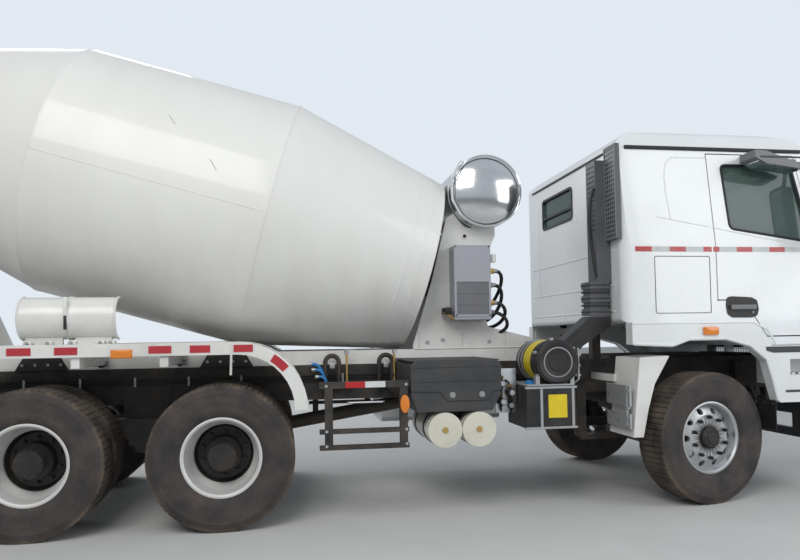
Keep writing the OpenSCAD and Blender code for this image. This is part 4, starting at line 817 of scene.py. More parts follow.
blockIn(bm, (flapFace - 0.004, -half, z0), (flapFace + 0.012, half, z1), 0.006, 3, 1)
addPiece("grilleBars", bm, "front_flap", "dark_plastic", greyPlastic, aluminium)

# Head lamps, number plate left blank, roof lamps
lampTrim = {"lenses": [(0.785, 0.083), (0.955, 0.076)], "z": 0.682, "bezel": 0.016, "amberY": (0.715, 1.025),
            "amberZ": (0.572, 0.590), "plate": (0.26, 0.665, 0.775), "plateScrews": (-0.2, 0.2),
            "bumperLines": (1.06, (0.425, 0.905)), "roofY": (-0.78, 0.78), "roofX": (4.155, 4.215),
            "roofZ": (3.105, 3.128)}
bm = bmesh.new()
face, bezel = box["lamps"][1].x, lampTrim["bezel"]
facing = Matrix.Rotation(math.pi / 2, 4, "Y")
for side in sides.values():
    for y, r in lampTrim["lenses"]:
        place = Matrix.Translation((face - 0.004, side * y, lampTrim["z"])) @ facing
        spinProfile(bm, [(r + bezel, 0.0), (r + bezel, 0.012), (r, 0.016), (r - 0.006, 0.004)], place, 32, 0)
        spinProfile(bm, [(0.0, 0.010), (r * 0.5, 0.0085), (r * 0.9, 0.004), (r, 0.001)], place, 32, 1)
    (y0, y1), (z0, z1) = lampTrim["amberY"], lampTrim["amberZ"]
    blocksIn(bm, [((face - 0.004, y0, z0), (face + 0.004, y1, z1), 0.002, 2, 2)], side)
addPiece("headLampTrim", bm, "chassis", "lamp", polishedSteel, clearLens, amberLens, smooth=True)
bm = bmesh.new()
face = box["bumper"][1].x
half, z0, z1 = lampTrim["plate"]
blockIn(bm, (face - 0.002, -half, z0), (face + 0.006, half, z1), 0.002, 2, 0)
blockIn(bm, (face - 0.004, -half - 0.012, z0 - 0.012), (face + 0.002, half + 0.012, z1 + 0.012), 0.001, 1, 1)
boltsIn(bm, [(face + 0.005, y, (z0 + z1) / 2) for y in lampTrim["plateScrews"]], (1, 0, 0), 0.007, 0.004, 2)
half, heights = lampTrim["bumperLines"]
for z in heights:
    tubeIn(bm, [(face - 0.002, -half, z), (face - 0.002, half, z)], 0.006, 6, 1)
addPiece("frontPlate", bm, "chassis", "dark_plastic", bodyWhite, blackPlastic, boltSteel)
bm = bmesh.new()
(x0, x1), (z0, z1) = lampTrim["roofX"], lampTrim["roofZ"]
for y in lampTrim["roofY"]:
    blockIn(bm, (x0, y - 0.045, z0), (x1, y + 0.045, z1), 0.010, 3, 0)
addPiece("roofMarkerLamps", bm, "cab", "lamp", amberLens, smooth=True)

# Mirrors: glasses and backs, and the kerb mirror's glass on the right
mirrorTrim = {
    "back": 0.23, "glassBack": 0.075, "y": (1.392, 1.548), "main": (2.375, 2.752), "wide": (2.195, 2.345),
    "proud": 0.004, "rim": 0.008,
    "kerb": [(-0.700, 0.030, 2.826), (-0.640, 0.030, 2.7985), (-0.320, 0.030, 2.7617),
             (-0.320, 0.205, 2.7617), (-0.640, 0.205, 2.7985), (-0.700, 0.205, 2.826)],
    "kerbEdge": ((0.93, 0.222, 2.846), (0.52, 0.218, 2.862)),
}
for sideName, side in sides.items():
    bm = bmesh.new()
    glassX = cabFront - mirrorTrim["back"] - mirrorTrim["glassBack"]
    for z0, z1 in (mirrorTrim["main"], mirrorTrim["wide"]):
        face = [(glassX + 0.001, y * side, z) for y, z in rect(*mirrorTrim["y"], z0, z1)]
        plateIn(bm, face, (-mirrorTrim["proud"], 0, 0), 0, 0.03)
        (y0, y1), out = mirrorTrim["y"], mirrorTrim["rim"]
        rim = [(glassX + 0.001, y * side, z) for y, z in rect(y0 - out, y1 + out, z0 - out, z1 + out)]
        sealIn(bm, rim, 0.034, 0.010, (-0.008, 0, 0), 1)
    if side < 0:
        under = [(cabFront - mirrorTrim["back"] + x, -cabHalf - y, z) for x, y, z in mirrorTrim["kerb"]]
        plateIn(bm, under, (0, 0, -mirrorTrim["proud"]), 0)
        low, high = ((cabFront - x, -cabHalf - y, z) for x, y, z in mirrorTrim["kerbEdge"])
        blockIn(bm, low, high, 0.001, 1, 1)
    addPiece("mirrorGlass" + sideName.title(), bm, "door_" + sideName, "steel", mirrorGlass, blackPlastic)
print("cab front and mirrors made")

# Seats: padded cushions in place of the plain blocks
seatShape = {
    "rows": {"Passenger": -0.56, "Driver": 0.56}, "cuts": 6, "corner": 0.028, "groove": (0.45, 0.05, 0.010),
    "gap": 0.004,
    "pads": [("Cushion", (-0.100, 0.400), 0.240, (1.950, 2.080), 2, 1, 0.016),
             ("Back", (-0.198, -0.104), 0.230, (1.975, 2.560), 0, 0, 0.010),
             ("Head", (-0.190, -0.110), 0.150, (2.580, 2.745), 0, 0, 0.008)],
    "pedestal": ((0.055, 0.295), 0.145, 1.562), "folds": 6, "foldHigh": 0.052,
    "plate": (-0.06, 0.36, 0.20, 1.915, 1.948),
    "posts": [(0.07, 2.54, 2.60, 0.007), (0.10, 1.955, 2.0, 0.012)], "postX": -0.150,
}


def padIn(low, high, crown, channels, axis):
    part = bmesh.new()
    blockIn(part, low, high, seatShape["corner"], 3)
    bmesh.ops.subdivide_edges(part, edges=[e for e in part.edges if e.calc_length() > 0.07],
                              cuts=seatShape["cuts"], use_grid_fill=True)
    middle = (Vector(low) + Vector(high)) / 2
    half = (Vector(high) - Vector(low)) / 2
    grooveAt, grooveWide, grooveDeep = seatShape["groove"]
    for v in part.verts:
        share = [max(-1, min(1, (v.co[i] - middle[i]) / half[i])) for i in range(3)]
        if abs(share[axis]) > 0.9:
            others = [share[i] for i in range(3) if i != axis]
            swell = (1 - others[0] ** 2) * (1 - others[1] ** 2)
            groove = math.exp(-((abs(others[channels]) - grooveAt) / grooveWide) ** 2) * grooveDeep
            edge = (1 - swell) * 0.006
            v.co[axis] += math.copysign(crown * swell * 0.5 - edge - groove * swell, share[axis])
        else:
            pull = 0.012 * (1 - share[axis] ** 2)
            for i in range(3):
                if i != axis and abs(share[i]) > 0.9:
                    v.co[i] -= math.copysign(pull, share[i])
    return part


for label, y in seatShape["rows"].items():
    gap = seatShape["gap"]
    for kind, (x0, x1), half, (z0, z1), axis, channels, crown in seatShape["pads"]:
        low = (steerX + x0 + gap, y - half + gap, z0 + gap)
        high = (steerX + x1 - gap, y + half - gap, z1 - gap)
        bm = padIn(low, high, crown, channels, axis)
        pad = addPiece("seat" + kind + label, bm, "cab", "seat_cloth", seatCloth, smooth=True,
                       standsFor=("seats",))
    bm = bmesh.new()
    (x0, x1), half, z = seatShape["pedestal"]
    blockIn(bm, (steerX + x0, y - half, z), (steerX + x1, y + half, z + 0.03), 0.008)
    for i in range(seatShape["folds"]):
        inset = 0.012 * (i % 2)
        low, high = (z + 0.03 + k * seatShape["foldHigh"] for k in (i, i + 1))
        blockIn(bm, (steerX + x0 + inset, y - half + inset, low),
                (steerX + x1 - inset, y + half - inset, high), 0.010)
    x0, x1, half, z0, z1 = seatShape["plate"]
    blockIn(bm, (steerX + x0, y - half, z0), (steerX + x1, y + half, z1), 0.008)
    for side in (-1, 1):
        for out, z0, z1, radius in seatShape["posts"]:
            x = steerX + seatShape["postX"]
            rodIn(bm, (x, y + side * out, z0), (x, y + side * out, z1), radius, 8, 1)
    addPiece("seatBase" + label, bm, "cab", "dark_plastic", blackPlastic, boltSteel, standsFor=("seats",))

# Dashboard: hood, dials without marks, vents and knobs
dash = {
    "hood": ((3.99, 0.30, 2.05), (4.15, 0.82, 2.105)), "dialY": [0.46, 0.66], "dialAt": (3.995, 2.035),
    "dial": [(0.062, -0.03), (0.062, 0.012), (0.055, 0.012), (0.052, 0.002), (0.0, 0.002)],
    "ventY": [-0.85, -0.40, 0.12, 0.95], "slats": 4, "slatPitch": 0.018,
    "knobs": [(-0.1, 1.93), (0.0, 1.93), (-0.05, 1.87)],
}
bm = bmesh.new()
blockIn(bm, *dash["hood"], 0.012, 3)
for y in dash["dialY"]:
    x, z = dash["dialAt"]
    place = Matrix.Translation((x, y, z)) @ Matrix.Rotation(-math.pi / 2, 4, "Y")
    spinProfile(bm, dash["dial"], place, 24, 1)
for y in dash["ventY"]:
    for i in range(dash["slats"]):
        up = i * dash["slatPitch"]
        blockIn(bm, (4.028, y - 0.07, 1.90 + up), (4.036, y + 0.07, 1.91 + up), 0.002, 1, 1)
for y, z in dash["knobs"]:
    rodIn(bm, (4.045, y, z), (4.020, y, z), 0.018, 14, 1)
addPiece("dashTrim", bm, "cab", "dark_plastic", cabInside, blackPlastic)
print("cab inside made")

# Tape, lamps and brackets of the mudguards
guardTrim = {
    "bandZ": (1.318, 1.372), "proud": 0.004, "arcDash": (41, 57),
    "dashes": [(-2.52, -2.36), (-2.20, -2.04), (-1.885, -1.73), (-1.245, -1.085), (-0.957, -0.812),
               (-0.645, -0.505)],
    "lamp": (-1.500, -1.362, 1.290, 1.346), "arcX": (0.121, -0.130), "arcZ": 0.880, "arcRadius": 0.510,
    "edgeRadius": 0.009, "edgeIn": (0.010, 0.634), "rod": (-0.660, 0.009, 1.150, 1.372),
    "tabX": (-0.442, -0.418), "stays": [(-2.43, -2.02), (-0.98, -0.54)], "stayZ": (1.180, 1.302),
    "stayY": 0.428, "stayBolts": (0.14, 0.38, 0.62, 0.86), "brackets": [-1.755, -1.135],
    "bracketZ": (1.195, 1.300),
}
arcX, arcZ, arcRadius = midX + guardTrim["arcX"][0], guardTrim["arcZ"], guardTrim["arcRadius"]
for sideName, side in sides.items():
    bm = bmesh.new()
    for x0, x1 in guardTrim["dashes"]:
        sidePlate(bm, side, rect(x0, x1, *guardTrim["bandZ"]), bodyHalf - 0.001, guardTrim["proud"])
    a0, a1 = guardTrim["arcDash"]
    angles = [a0 + (a1 - a0) * i / 4 for i in range(5)]
    outer = arcXZ(arcX, arcZ, arcRadius - 0.012, angles)
    inner = arcXZ(arcX, arcZ, arcRadius - 0.074, reversed(angles))
    sidePlate(bm, side, outer + inner, bodyHalf - 0.001, guardTrim["proud"])
    addPiece("guardDashes" + sideName.title(), bm, "chassis", "frame_white", redTape)
    bm = bmesh.new()
    x0, x1, z0, z1 = guardTrim["lamp"]
    near = bodyHalf - 0.001
    blocksIn(bm, [((x0, near, z0), (x1, bodyHalf + 0.014, z1), 0.006, 3),
                  ((x0 - 0.006, near, z0 - 0.004), (x1 + 0.006, bodyHalf + 0.004, z1 + 0.004), 0.002)], side)
    addPiece("guardLamp" + sideName.title(), bm, "chassis", "lamp", amberLens, smooth=True)
bm = bmesh.new()
for side in sides.values():
    (z0, z1), y = guardTrim["stayZ"], guardTrim["stayY"]
    for x0, x1 in guardTrim["stays"]:
        sidePlate(bm, side, [(x0, z0), (x1, z0), (x1 - 0.07, z1), (x0 + 0.07, z1)], y, 0.010, 0, 0, 0.002)
        boltsIn(bm, [(x0 + (x1 - x0) * share, side * (y + 0.009), z0 + 0.045)
                     for share in guardTrim["stayBolts"]],
                (0, side, 0), 0.013, 0.010, 1)
    z0, z1 = guardTrim["bracketZ"]
    for x in guardTrim["brackets"]:
        blocksIn(bm, [((x - 0.012, 0.418, z0), (x + 0.012, 0.520, z1), 0.003, 1),
                      ((x - 0.05, 0.418, z1 - 0.012), (x + 0.05, 0.520, z1), 0.003, 1)], side)
        rodsIn(bm, [((x - 0.055, 0.49, z0 + 0.03), (x + 0.055, 0.49, z0 + 0.03), 0.020, 12, 1)], side)
addPiece("subframeMounts", bm, "chassis", "chassis_black", blackPlastic, boltSteel)
bm = bmesh.new()
x, radius, z0, z1 = guardTrim["rod"]
for side in sides.values():
    y = bodyHalf - 0.001
    rodsIn(bm, [((x, y, z1), (x - 0.006, y, z0), radius, 10)], side)
    for tabX in guardTrim["tabX"]:
        sidePlate(bm, side, rect(midX + tabX, midX + tabX + 0.02, 1.30, 1.38), 0.9, 0.02)
    # Rolled edges of the long guard, outside and inside
    edge = arcXZ(arcX, arcZ, arcRadius, range(0, 91, 9))
    edge += arcXZ(rearX + guardTrim["arcX"][1], arcZ, arcRadius, range(90, 181, 9))
    for back in guardTrim["edgeIn"]:
        points = [(px, side * (bodyHalf - back), pz - 0.006) for px, pz in edge]
        tubeIn(bm, points, guardTrim["edgeRadius"], 8)
addPiece("guardEdges", bm, "chassis", "frame_white", bodyWhite, smooth=True)

# Front guard: its galvanised side bracket
frontGuard = {"x": (2.460, 2.482), "boltX": 2.462, "z": [(0.640, 0.760), (0.820, 0.990)], "y": (0.42, 0.008),
              "boltsIn": (0.05, 0.2, 0.36), "rod": (2.462, 1.20, 0.66, 0.985), "clips": (0.72, 0.80, 0.94)}
bm = bmesh.new()
for side in sides.values():
    (x0, x1), (y0, y1) = frontGuard["x"], (bodyHalf - back for back in frontGuard["y"])
    for z0, z1 in frontGuard["z"]:
        blocksIn(bm, [((x0, y0, z0), (x1, y1, z1), 0.004, 2)], side)
        boltsIn(bm, [(frontGuard["boltX"], side * (bodyHalf - back), (z0 + z1) / 2)
                     for back in frontGuard["boltsIn"]],
                (-1, 0, 0), 0.010, 0.010, 1)
    x, y, z0, z1 = frontGuard["rod"]
    rodsIn(bm, [((x, y, z0), (x, y, z1), 0.012, 10)], side)
    blocksIn(bm, [((x - 0.012, y - 0.03, z), (x + 0.012, y + 0.03, z + 0.02), 0.004)
                  for z in frontGuard["clips"]], side)
addPiece("frontGuardBrackets", bm, "chassis", "steel", galvanised, boltSteel)

# Side guards: reflectors, rail, marker lamps; on the right also lift hooks, grease rods and blue pipes
sideGuard = {
    "red": (0.175, 0.325), "white": (0.325, 0.480), "reflectorZ": (1.032, 1.078),
    "rail": (0.190, 0.470, 0.922), "lamp": (0.628, 0.900, 0.036, 0.070), "boltX": (0.032, 0.64),
    "boltZ": (0.60, 0.71, 1.05), "hooks": [0.125, 0.590], "hookY": -0.50, "hookZ": 1.20, "hookLow": 1.00,
    "hookRadius": 0.058, "rods": [0.250, 0.662], "pipes": [(1.19, 0.86), (1.14, 0.82), (1.08, 0.77)],
}
red, white, lamp, rail, hooks, rods = (bmesh.new() for _ in range(6))
for side in sides.values():
    y = box["guards"][1].y
    for bm, (x0, x1) in ((red, sideGuard["red"]), (white, sideGuard["white"])):
        sidePlate(bm, side, rect(x0, x1, *sideGuard["reflectorZ"]), y - 0.006, 0.010, 0, 0, 0.002)
    x, z, rx, rz = sideGuard["lamp"]
    oval = [(x + rx * math.cos(i * math.pi / 10), z + rz * math.sin(i * math.pi / 10)) for i in range(20)]
    sidePlate(lamp, side, oval, y - 0.007, 0.022, 0, 0, 0.007)
    x0, x1, z = sideGuard["rail"]
    points = [(x0, y - 0.02, z), (x0 + 0.015, y - 0.002, z), (x1 - 0.015, y - 0.002, z), (x1, y - 0.02, z)]
    tubesIn(rail, [(points, 0.007, 8)], side)
    for x in sideGuard["boltX"]:
        boltsIn(rail, [(x, side * (y - 0.006), z) for z in sideGuard["boltZ"]], (0, side, 0), 0.012, 0.009, 0)
y, z, low, radius = (sideGuard[key] for key in ("hookY", "hookZ", "hookLow", "hookRadius"))
for x in sideGuard["hooks"]:
    for at in (x - 0.055, x + 0.055):
        tubeIn(hooks, [(at, y, z), (at, y, 1.10), (at, -0.60, 1.085)], 0.006, 6)
    tubeIn(hooks, xz(arcXZ(x, z, radius, [22.5 * i for i in range(9)]), y), 0.020, 10)
    rodsIn(hooks, [((at, y, z + 0.005), (at, y, low), 0.020, 12) for at in (x - radius, x + radius)])
    blocksIn(hooks, [((x - 0.08, y - 0.02, low), (x + 0.08, -0.418, low + 0.03), 0.005),
                     ((x - 0.022, y - 0.026, z - 0.05), (x + 0.022, y - 0.014, z), 0.004, 2, 1)])
for x in sideGuard["rods"]:
    rodsIn(rods, [((x, -0.52, z0), (x, -0.52, z1), *rest) for z0, z1, *rest in (
        (1.03, 1.29, 0.011, 12, 0), (1.27, 1.305, 0.020, 8, 1), (1.01, 1.04, 0.026, 8, 1))])
    blockIn(rods, (x - 0.03, -0.535, 1.005), (x + 0.03, -0.418, 1.02), 0.004, 2, 1)
addPiece("sideReflectorsRed", red, "chassis", "lamp", redLens)
addPiece("sideReflectorsWhite", white, "chassis", "lamp", clearLens)
addPiece("sideGuardLamps", lamp, "chassis", "lamp", amberLens, smooth=True)
addPiece("sideGuardRails", rail, "chassis", "steel", aluminium, smooth=True)
addPiece("liftHooks", hooks, "chassis", "chassis_black", chassisBlack, galvanised, smooth=True)
addPiece("greaseRods", rods, "chassis", "steel", brassFitting, boltSteel, smooth=True)
bm = bmesh.new()
for i, (z0, z1) in enumerate(sideGuard["pipes"]):
    path = bend((-0.05 + 0.03 * i, -0.50, z0), (0.10, -0.47 - 0.03 * i, z1), (0.10, -0.03, 0.02),
                (-0.02, 0, 0.14), 12)
    tubeIn(bm, path, 0.012, 8)
    rodIn(bm, path[0] - Vector((0.03, 0, 0)), path[0], 0.017, 8, 1)
addPiece("bluePipes", bm, "chassis", "dark_plastic", blueCap, boltSteel, smooth=True)
print("guards dressed")

# Battery box: lid with a stepped lower edge, ribs and bolts
battery = {
    "lid": [(0.676, 1.188), (0.708, 1.222), (1.362, 1.222), (1.394, 1.188), (1.394, 0.988), (1.330, 0.982),
            (1.275, 0.912), (0.965, 0.912), (0.905, 0.982), (0.676, 0.990)],
    "bolts": [(1.00, 0.958), (1.235, 0.958)], "ribs": [1.17, 1.06], "proud": 0.012,
    "top": (0.674, 1.396, -0.45, 1.218),
}
bm = bmesh.new()
y = box["battery_box"][0].y
face = y - battery["proud"]
plateIn(bm, xz(battery["lid"], y + 0.001), (0, -battery["proud"], 0), 0, 0.008, 0.004)
for z in battery["ribs"]:
    blockIn(bm, (0.70, face - 0.004, z), (1.372, face + 0.004, z + 0.008), 0.003)
for x, z in battery["bolts"]:
    rodIn(bm, (x, face + 0.002, z), (x, face - 0.010, z), 0.016, 6, 1)
    rodIn(bm, (x, face + 0.002, z), (x, face - 0.003, z), 0.024, 16, 1)
x0, x1, inside, z = battery["top"]
plateIn(bm, [(px, py, z) for px, py in rect(x0, x1, y + 0.03, inside)], (0, 0, 0.008), 0, 0.02, 0.003)
addPiece("batteryLid", bm, "chassis", "dark_plastic", darkPlastic, boltSteel)

# Air tanks: weld rings, middle boss, straps and drain
airTank = {"x": [0.940, 1.210], "z": 0.690, "r": 0.134, "rings": [1.186, 0.575], "straps": [1.05, 0.70],
           "drainY": -0.9,
           "boss": [(0.0, 1.262), (0.020, 1.262), (0.024, 1.252), (0.026, 1.235)],
           "groove": [(0.060, 1.2475), (0.062, 1.2490), (0.066, 1.2490), (0.068, 1.2455)]}
bm = bmesh.new()
z, r, y = airTank["z"], airTank["r"], airTank["drainY"]
for x in airTank["x"]:
    place = Matrix.Translation((x, 0, z)) @ Matrix.Rotation(math.pi / 2, 4, "X")
    for at in airTank["rings"]:
        bandIn(bm, place, r, 0.003, at - 0.006, at + 0.006, 40, 0, slope=0.003)
    spinProfile(bm, airTank["boss"], place, 20, 1)
    spinProfile(bm, airTank["groove"], place, 32, 0)
    for at in airTank["straps"]:
        bandIn(bm, place, r, 0.005, at - 0.02, at + 0.02, 40, 2, sunk=0.002)
    rodIn(bm, (x, y, z - r - 0.02), (x, y, z - r + 0.01), 0.012, 8, 1)
addPiece("airTankTrim", bm, "chassis", "frame_white", tankCream, brassFitting, blackPlastic, smooth=True)

# Fluid tank: frame rails, yellow label left blank, cap
fluid = {"label": (1.790, 1.945, 0.752, 0.935), "railX": (1.600, 2.030), "railZ": (0.672, 0.990),
         "posts": (1.722, 1.985), "capAt": (1.68, 0.12)}
bm = bmesh.new()
y = box["fluid_tank"][0].y
plateIn(bm, xz(rect(*fluid["label"]), y + 0.001), (0, -0.003, 0), 0, 0.004)
(x0, x1), (z0, z1) = fluid["railX"], fluid["railZ"]
for z in (z0, z1):
    blockIn(bm, (x0, y - 0.006, z - 0.008), (x1, y + 0.025, z + 0.010), 0.003, 2, 1)
for x in fluid["posts"]:
    blockIn(bm, (x, y - 0.005, z0), (x + 0.022, y + 0.02, z1), 0.003, 2, 1)
x, back = fluid["capAt"]
rodIn(bm, (x, y + back, z1), (x, y + back, z1 + 0.045), 0.040, 20, 2)
rodIn(bm, (x, y + back, z1 + 0.040), (x, y + back, z1 + 0.055), 0.030, 6, 2)
addPiece("fluidTankTrim", bm, "chassis", "dark_plastic", warnYellow, galvanised, blueCap)

# Air cleaner: end cap with rim and clips, label band left blank, saddle; its profiles run out from the face
cleaner = {
    "x": midX + 2.625, "z": 1.190, "r": 0.175, "face": 1.190, "clips": (35, 100, 155, 215, 280, 330),
    "rim": [(-0.004, -0.10), (0.010, -0.095), (0.010, -0.070), (0.002, -0.060), (0.002, -0.004),
            (-0.014, 0.010),
            (-0.035, 0.010), (-0.050, 0.001)],
    "middle": [(0.075, 0.001), (0.068, 0.008), (0.0, 0.008)],
    "ring": [(0.110, 0.0005), (0.112, 0.006), (0.122, 0.006), (0.124, 0.0005)], "label": (0.86, 1.02),
    "straps": (0.80, 0.72), "feet": (1.70, 1.99), "rungs": (1.08, 1.16, 1.24),
}
bm = bmesh.new()
x, z, r, face = (cleaner[key] for key in ("x", "z", "r", "face"))
place = Matrix.Translation((x, 0, z)) @ Matrix.Rotation(math.pi / 2, 4, "X")
spinProfile(bm, [(r + out, face + along) for out, along in cleaner["rim"]]
            + [(out, face + along) for out, along in cleaner["middle"]], place, 48, 0)
spinProfile(bm, [(out, face + along) for out, along in cleaner["ring"]], place, 48, 1)
for clipX, clipZ in arcXZ(x, z, r + 0.010, cleaner["clips"]):
    at = Vector((clipX, 0.075 - face, clipZ))
    blockIn(bm, at - Vector((0.012, 0.035, 0.012)), at + Vector((0.012, 0.022, 0.012)), 0.004, 2, 2)
bandIn(bm, place, r, 0.002, *cleaner["label"], 48, 3, sunk=0.001)
for y in cleaner["straps"]:
    bandIn(bm, place, r, 0.006, y, y + 0.03, 48, 2, sunk=0.002)
addPiece("airCleanerTrim", bm, "chassis", "dark_plastic", blackPlastic, polishedSteel, galvanised, warnYellow,
         smooth=True)
bm = bmesh.new()
blockIn(bm, (1.62, -1.19, 1.000), (2.02, -0.72, 1.016), 0.004)
for x in cleaner["feet"]:
    blockIn(bm, (x, -1.18, 0.99), (x + 0.035, -1.12, 1.08), 0.004)
tubeIn(bm, [(2.03, -1.12, 1.00), (2.07, -1.16, 1.05), (2.07, -1.16, 1.30)], 0.008, 8)
for z in cleaner["rungs"]:
    rodIn(bm, (2.02, -1.12, z), (2.09, -1.16, z), 0.007, 8)
addPiece("cleanerBracket", bm, "chassis", "steel", galvanised)

# Valves on their plate between the battery box and the fluid tank, with two pipes from each
valves = {"at": [(1.47, -1.02, 1.02), (1.53, -1.08, 0.95), (1.45, -1.10, 0.88), (1.55, -1.00, 0.84),
                 (1.50, -0.92, 1.08)],
          "plateY": -0.98, "plate": ((1.42, -0.99, 0.78), (1.60, -0.975, 1.14), 0.004, 2, 0),
          "carriers": [((1.20, -0.60, 0.96), (1.62, -0.418, 0.98), 0.004),
                       ((1.52, -0.98, 0.98), (1.55, -0.418, 1.00), 0.004)]}
bm, pipes = bmesh.new(), bmesh.new()
blockIn(bm, *valves["plate"])
for i, (x, y, z) in enumerate(valves["at"]):
    middle = (y + valves["plateY"]) / 2
    rodIn(bm, (x, valves["plateY"], z), (x, y, z), 0.030, 16, 1)
    rodIn(bm, (x, y, z), (x, y - 0.022, z), 0.021, 12, 0)
    rodIn(bm, (x, middle, z - 0.045), (x, middle, z + 0.045), 0.014, 10, 1)
    rodIn(bm, (x, middle, z + 0.04), (x, middle, z + 0.06), 0.018, 6, 2)
    tubeIn(pipes, bend((x, middle, z - 0.04), (1.66 + 0.02 * i, -0.50, 0.93 + 0.02 * i), (0.0, 0.0, -0.14),
                       (-0.12, -0.12, 0.0), 12), 0.009, 8)
    tubeIn(pipes, bend((x, middle, z + 0.055), (0.98 + 0.05 * i, -0.465, 1.10 - 0.016 * i), (0.0, 0.0, 0.10),
                       (0.22, -0.02, 0.0), 14), 0.008, 8)
blocksIn(pipes, valves["carriers"])
addPiece("valves", bm, "chassis", "steel", aluminium, blackPlastic, brassFitting, smooth=True)
addPiece("brakePipes", pipes, "chassis", "dark_plastic", blackPlastic, smooth=True)
print("boxes and valves dressed")

# Oil cooler: face frame, fins on its lower half, plain upper panel, pipes behind
cooler = {
    "x": (1.190, 1.510), "y": -0.607, "z": (1.580, 2.200), "finTop": 1.880, "fins": 30, "bars": (0.10, 0.20),
    "pipes": [(1.515, -0.56, 1.98), (1.515, -0.50, 1.86), (1.515, -0.54, 1.70), (1.515, -0.46, 1.62)],
    "rods": [((1.56, -0.53, 2.06), (1.56, -0.53, 2.13), 0.028, 16, 3),
             ((1.515, -0.53, 2.08), (1.56, -0.53, 2.08), 0.014, 10, 2)],
    "valve": ((1.10, -0.62, 1.60), (1.16, -0.46, 1.66), 0.010, 2, 4),
    "valveRods": [((1.10, -0.58, 1.62), (1.20, -0.58, 1.55), 0.014, 10, 1),
                  ((1.16, -0.44, 1.63), (1.19, -0.44, 1.63), 0.012, 10, 2)],
}
bm = bmesh.new()
(x0, x1), y, (z0, z1), finTop = cooler["x"], cooler["y"], cooler["z"], cooler["finTop"]
sealIn(bm, xz(rect(x0 - 0.004, x1 + 0.004, z0 - 0.004, z1 + 0.004), y + 0.002), 0.006, 0.020, (0, -0.012, 0))
blockIn(bm, (x0 + 0.010, y - 0.009, finTop), (x1 - 0.010, y - 0.001, z1 - 0.010), 0.004)
for i in range(cooler["fins"]):
    x = x0 + 0.020 + (x1 - x0 - 0.040) * i / (cooler["fins"] - 1)
    blockIn(bm, (x - 0.0016, y - 0.007, z0 + 0.02), (x + 0.0016, y + 0.001, finTop), 0, 1, 1)
for up in cooler["bars"]:
    blockIn(bm, (x0 + 0.016, y - 0.008, z0 + up), (x1 - 0.016, y, z0 + up + 0.006), 0.001, 1, 1)
blockIn(bm, (x0 - 0.006, y - 0.004, z0 - 0.03), (x1 + 0.006, -0.43, z0 - 0.001), 0.006, 2, 0)
for x in (x0 - 0.008, x1 - 0.004):
    boltsIn(bm, [(x, y + 0.05, z) for z in (z0 + 0.05, z0 + 0.3, z1 - 0.06)], (1, 0, 0), 0.009, 0.012, 2)
addPiece("coolerFace", bm, "chassis", "machine_grey", coolerGrey, coolerFins, boltSteel)
bm = bmesh.new()
for i, start in enumerate(cooler["pipes"]):
    nut, neck, tube = (Vector(start) + Vector((out, 0, 0)) for out in (0.045, 0.070, 0.065))
    end = Vector((1.46 + 0.05 * i, -0.20 - 0.06 * i, 1.58 - 0.05 * i))
    rodIn(bm, start, nut, 0.024, 8, 1 + i % 2)
    rodIn(bm, nut, neck, 0.019, 12, 2)
    tubeIn(bm, bend(tube, end, (0.13, -0.03, -0.02), (0.16, -0.08, 0.02), 14), 0.016, 10)
    rodIn(bm, end, end + Vector((-0.03, 0.03, 0)), 0.022, 8, 2)
rodsIn(bm, cooler["rods"])
blockIn(bm, *cooler["valve"])
rodsIn(bm, cooler["valveRods"])
addPiece("coolerPipes", bm, "chassis", "dark_plastic", blackPlastic, brassFitting, boltSteel, bodyWhite,
         sealRubber, smooth=True)

# Water tank: straps, weld seams, filler and gauge
water = {"x": 1.510, "z": 2.700, "r": 0.322, "straps": [-0.40, 0.40], "seams": [-0.555, 0.555],
         "filler": [(0.075, 0.0), (0.075, 0.03), (0.085, 0.035), (0.085, 0.055), (0.07, 0.062), (0.0, 0.062)],
         "gauge": [(1.30, -0.56, 2.45), (1.26, -0.60, 2.47), (1.185, -0.60, 2.60), (1.185, -0.60, 2.80),
                   (1.26, -0.60, 2.94), (1.30, -0.56, 2.95)]}
bm = bmesh.new()
x, z, r = water["x"], water["z"], water["r"]
place = Matrix.Translation((x, 0, z)) @ Matrix.Rotation(math.pi / 2, 4, "X")
for y in water["straps"]:
    bandIn(bm, place, r, 0.004, y - 0.030, y + 0.030, 64, sunk=0.001)
for y in water["seams"]:
    bandIn(bm, place, r, 0.001, y - 0.006, y + 0.006, 64, sunk=0.012, slope=0.004)
spinProfile(bm, water["filler"], Matrix.Translation((x, 0.0, z + r - 0.004)), 32, 0)
rodIn(bm, (x - 0.06, 0, z + r + 0.058), (x + 0.06, 0, z + r + 0.058), 0.010, 8, 0)
tubeIn(bm, water["gauge"], 0.010, 8, 1)
addPiece("waterTankTrim", bm, "chassis", "steel", polishedSteel, clearLens, smooth=True)

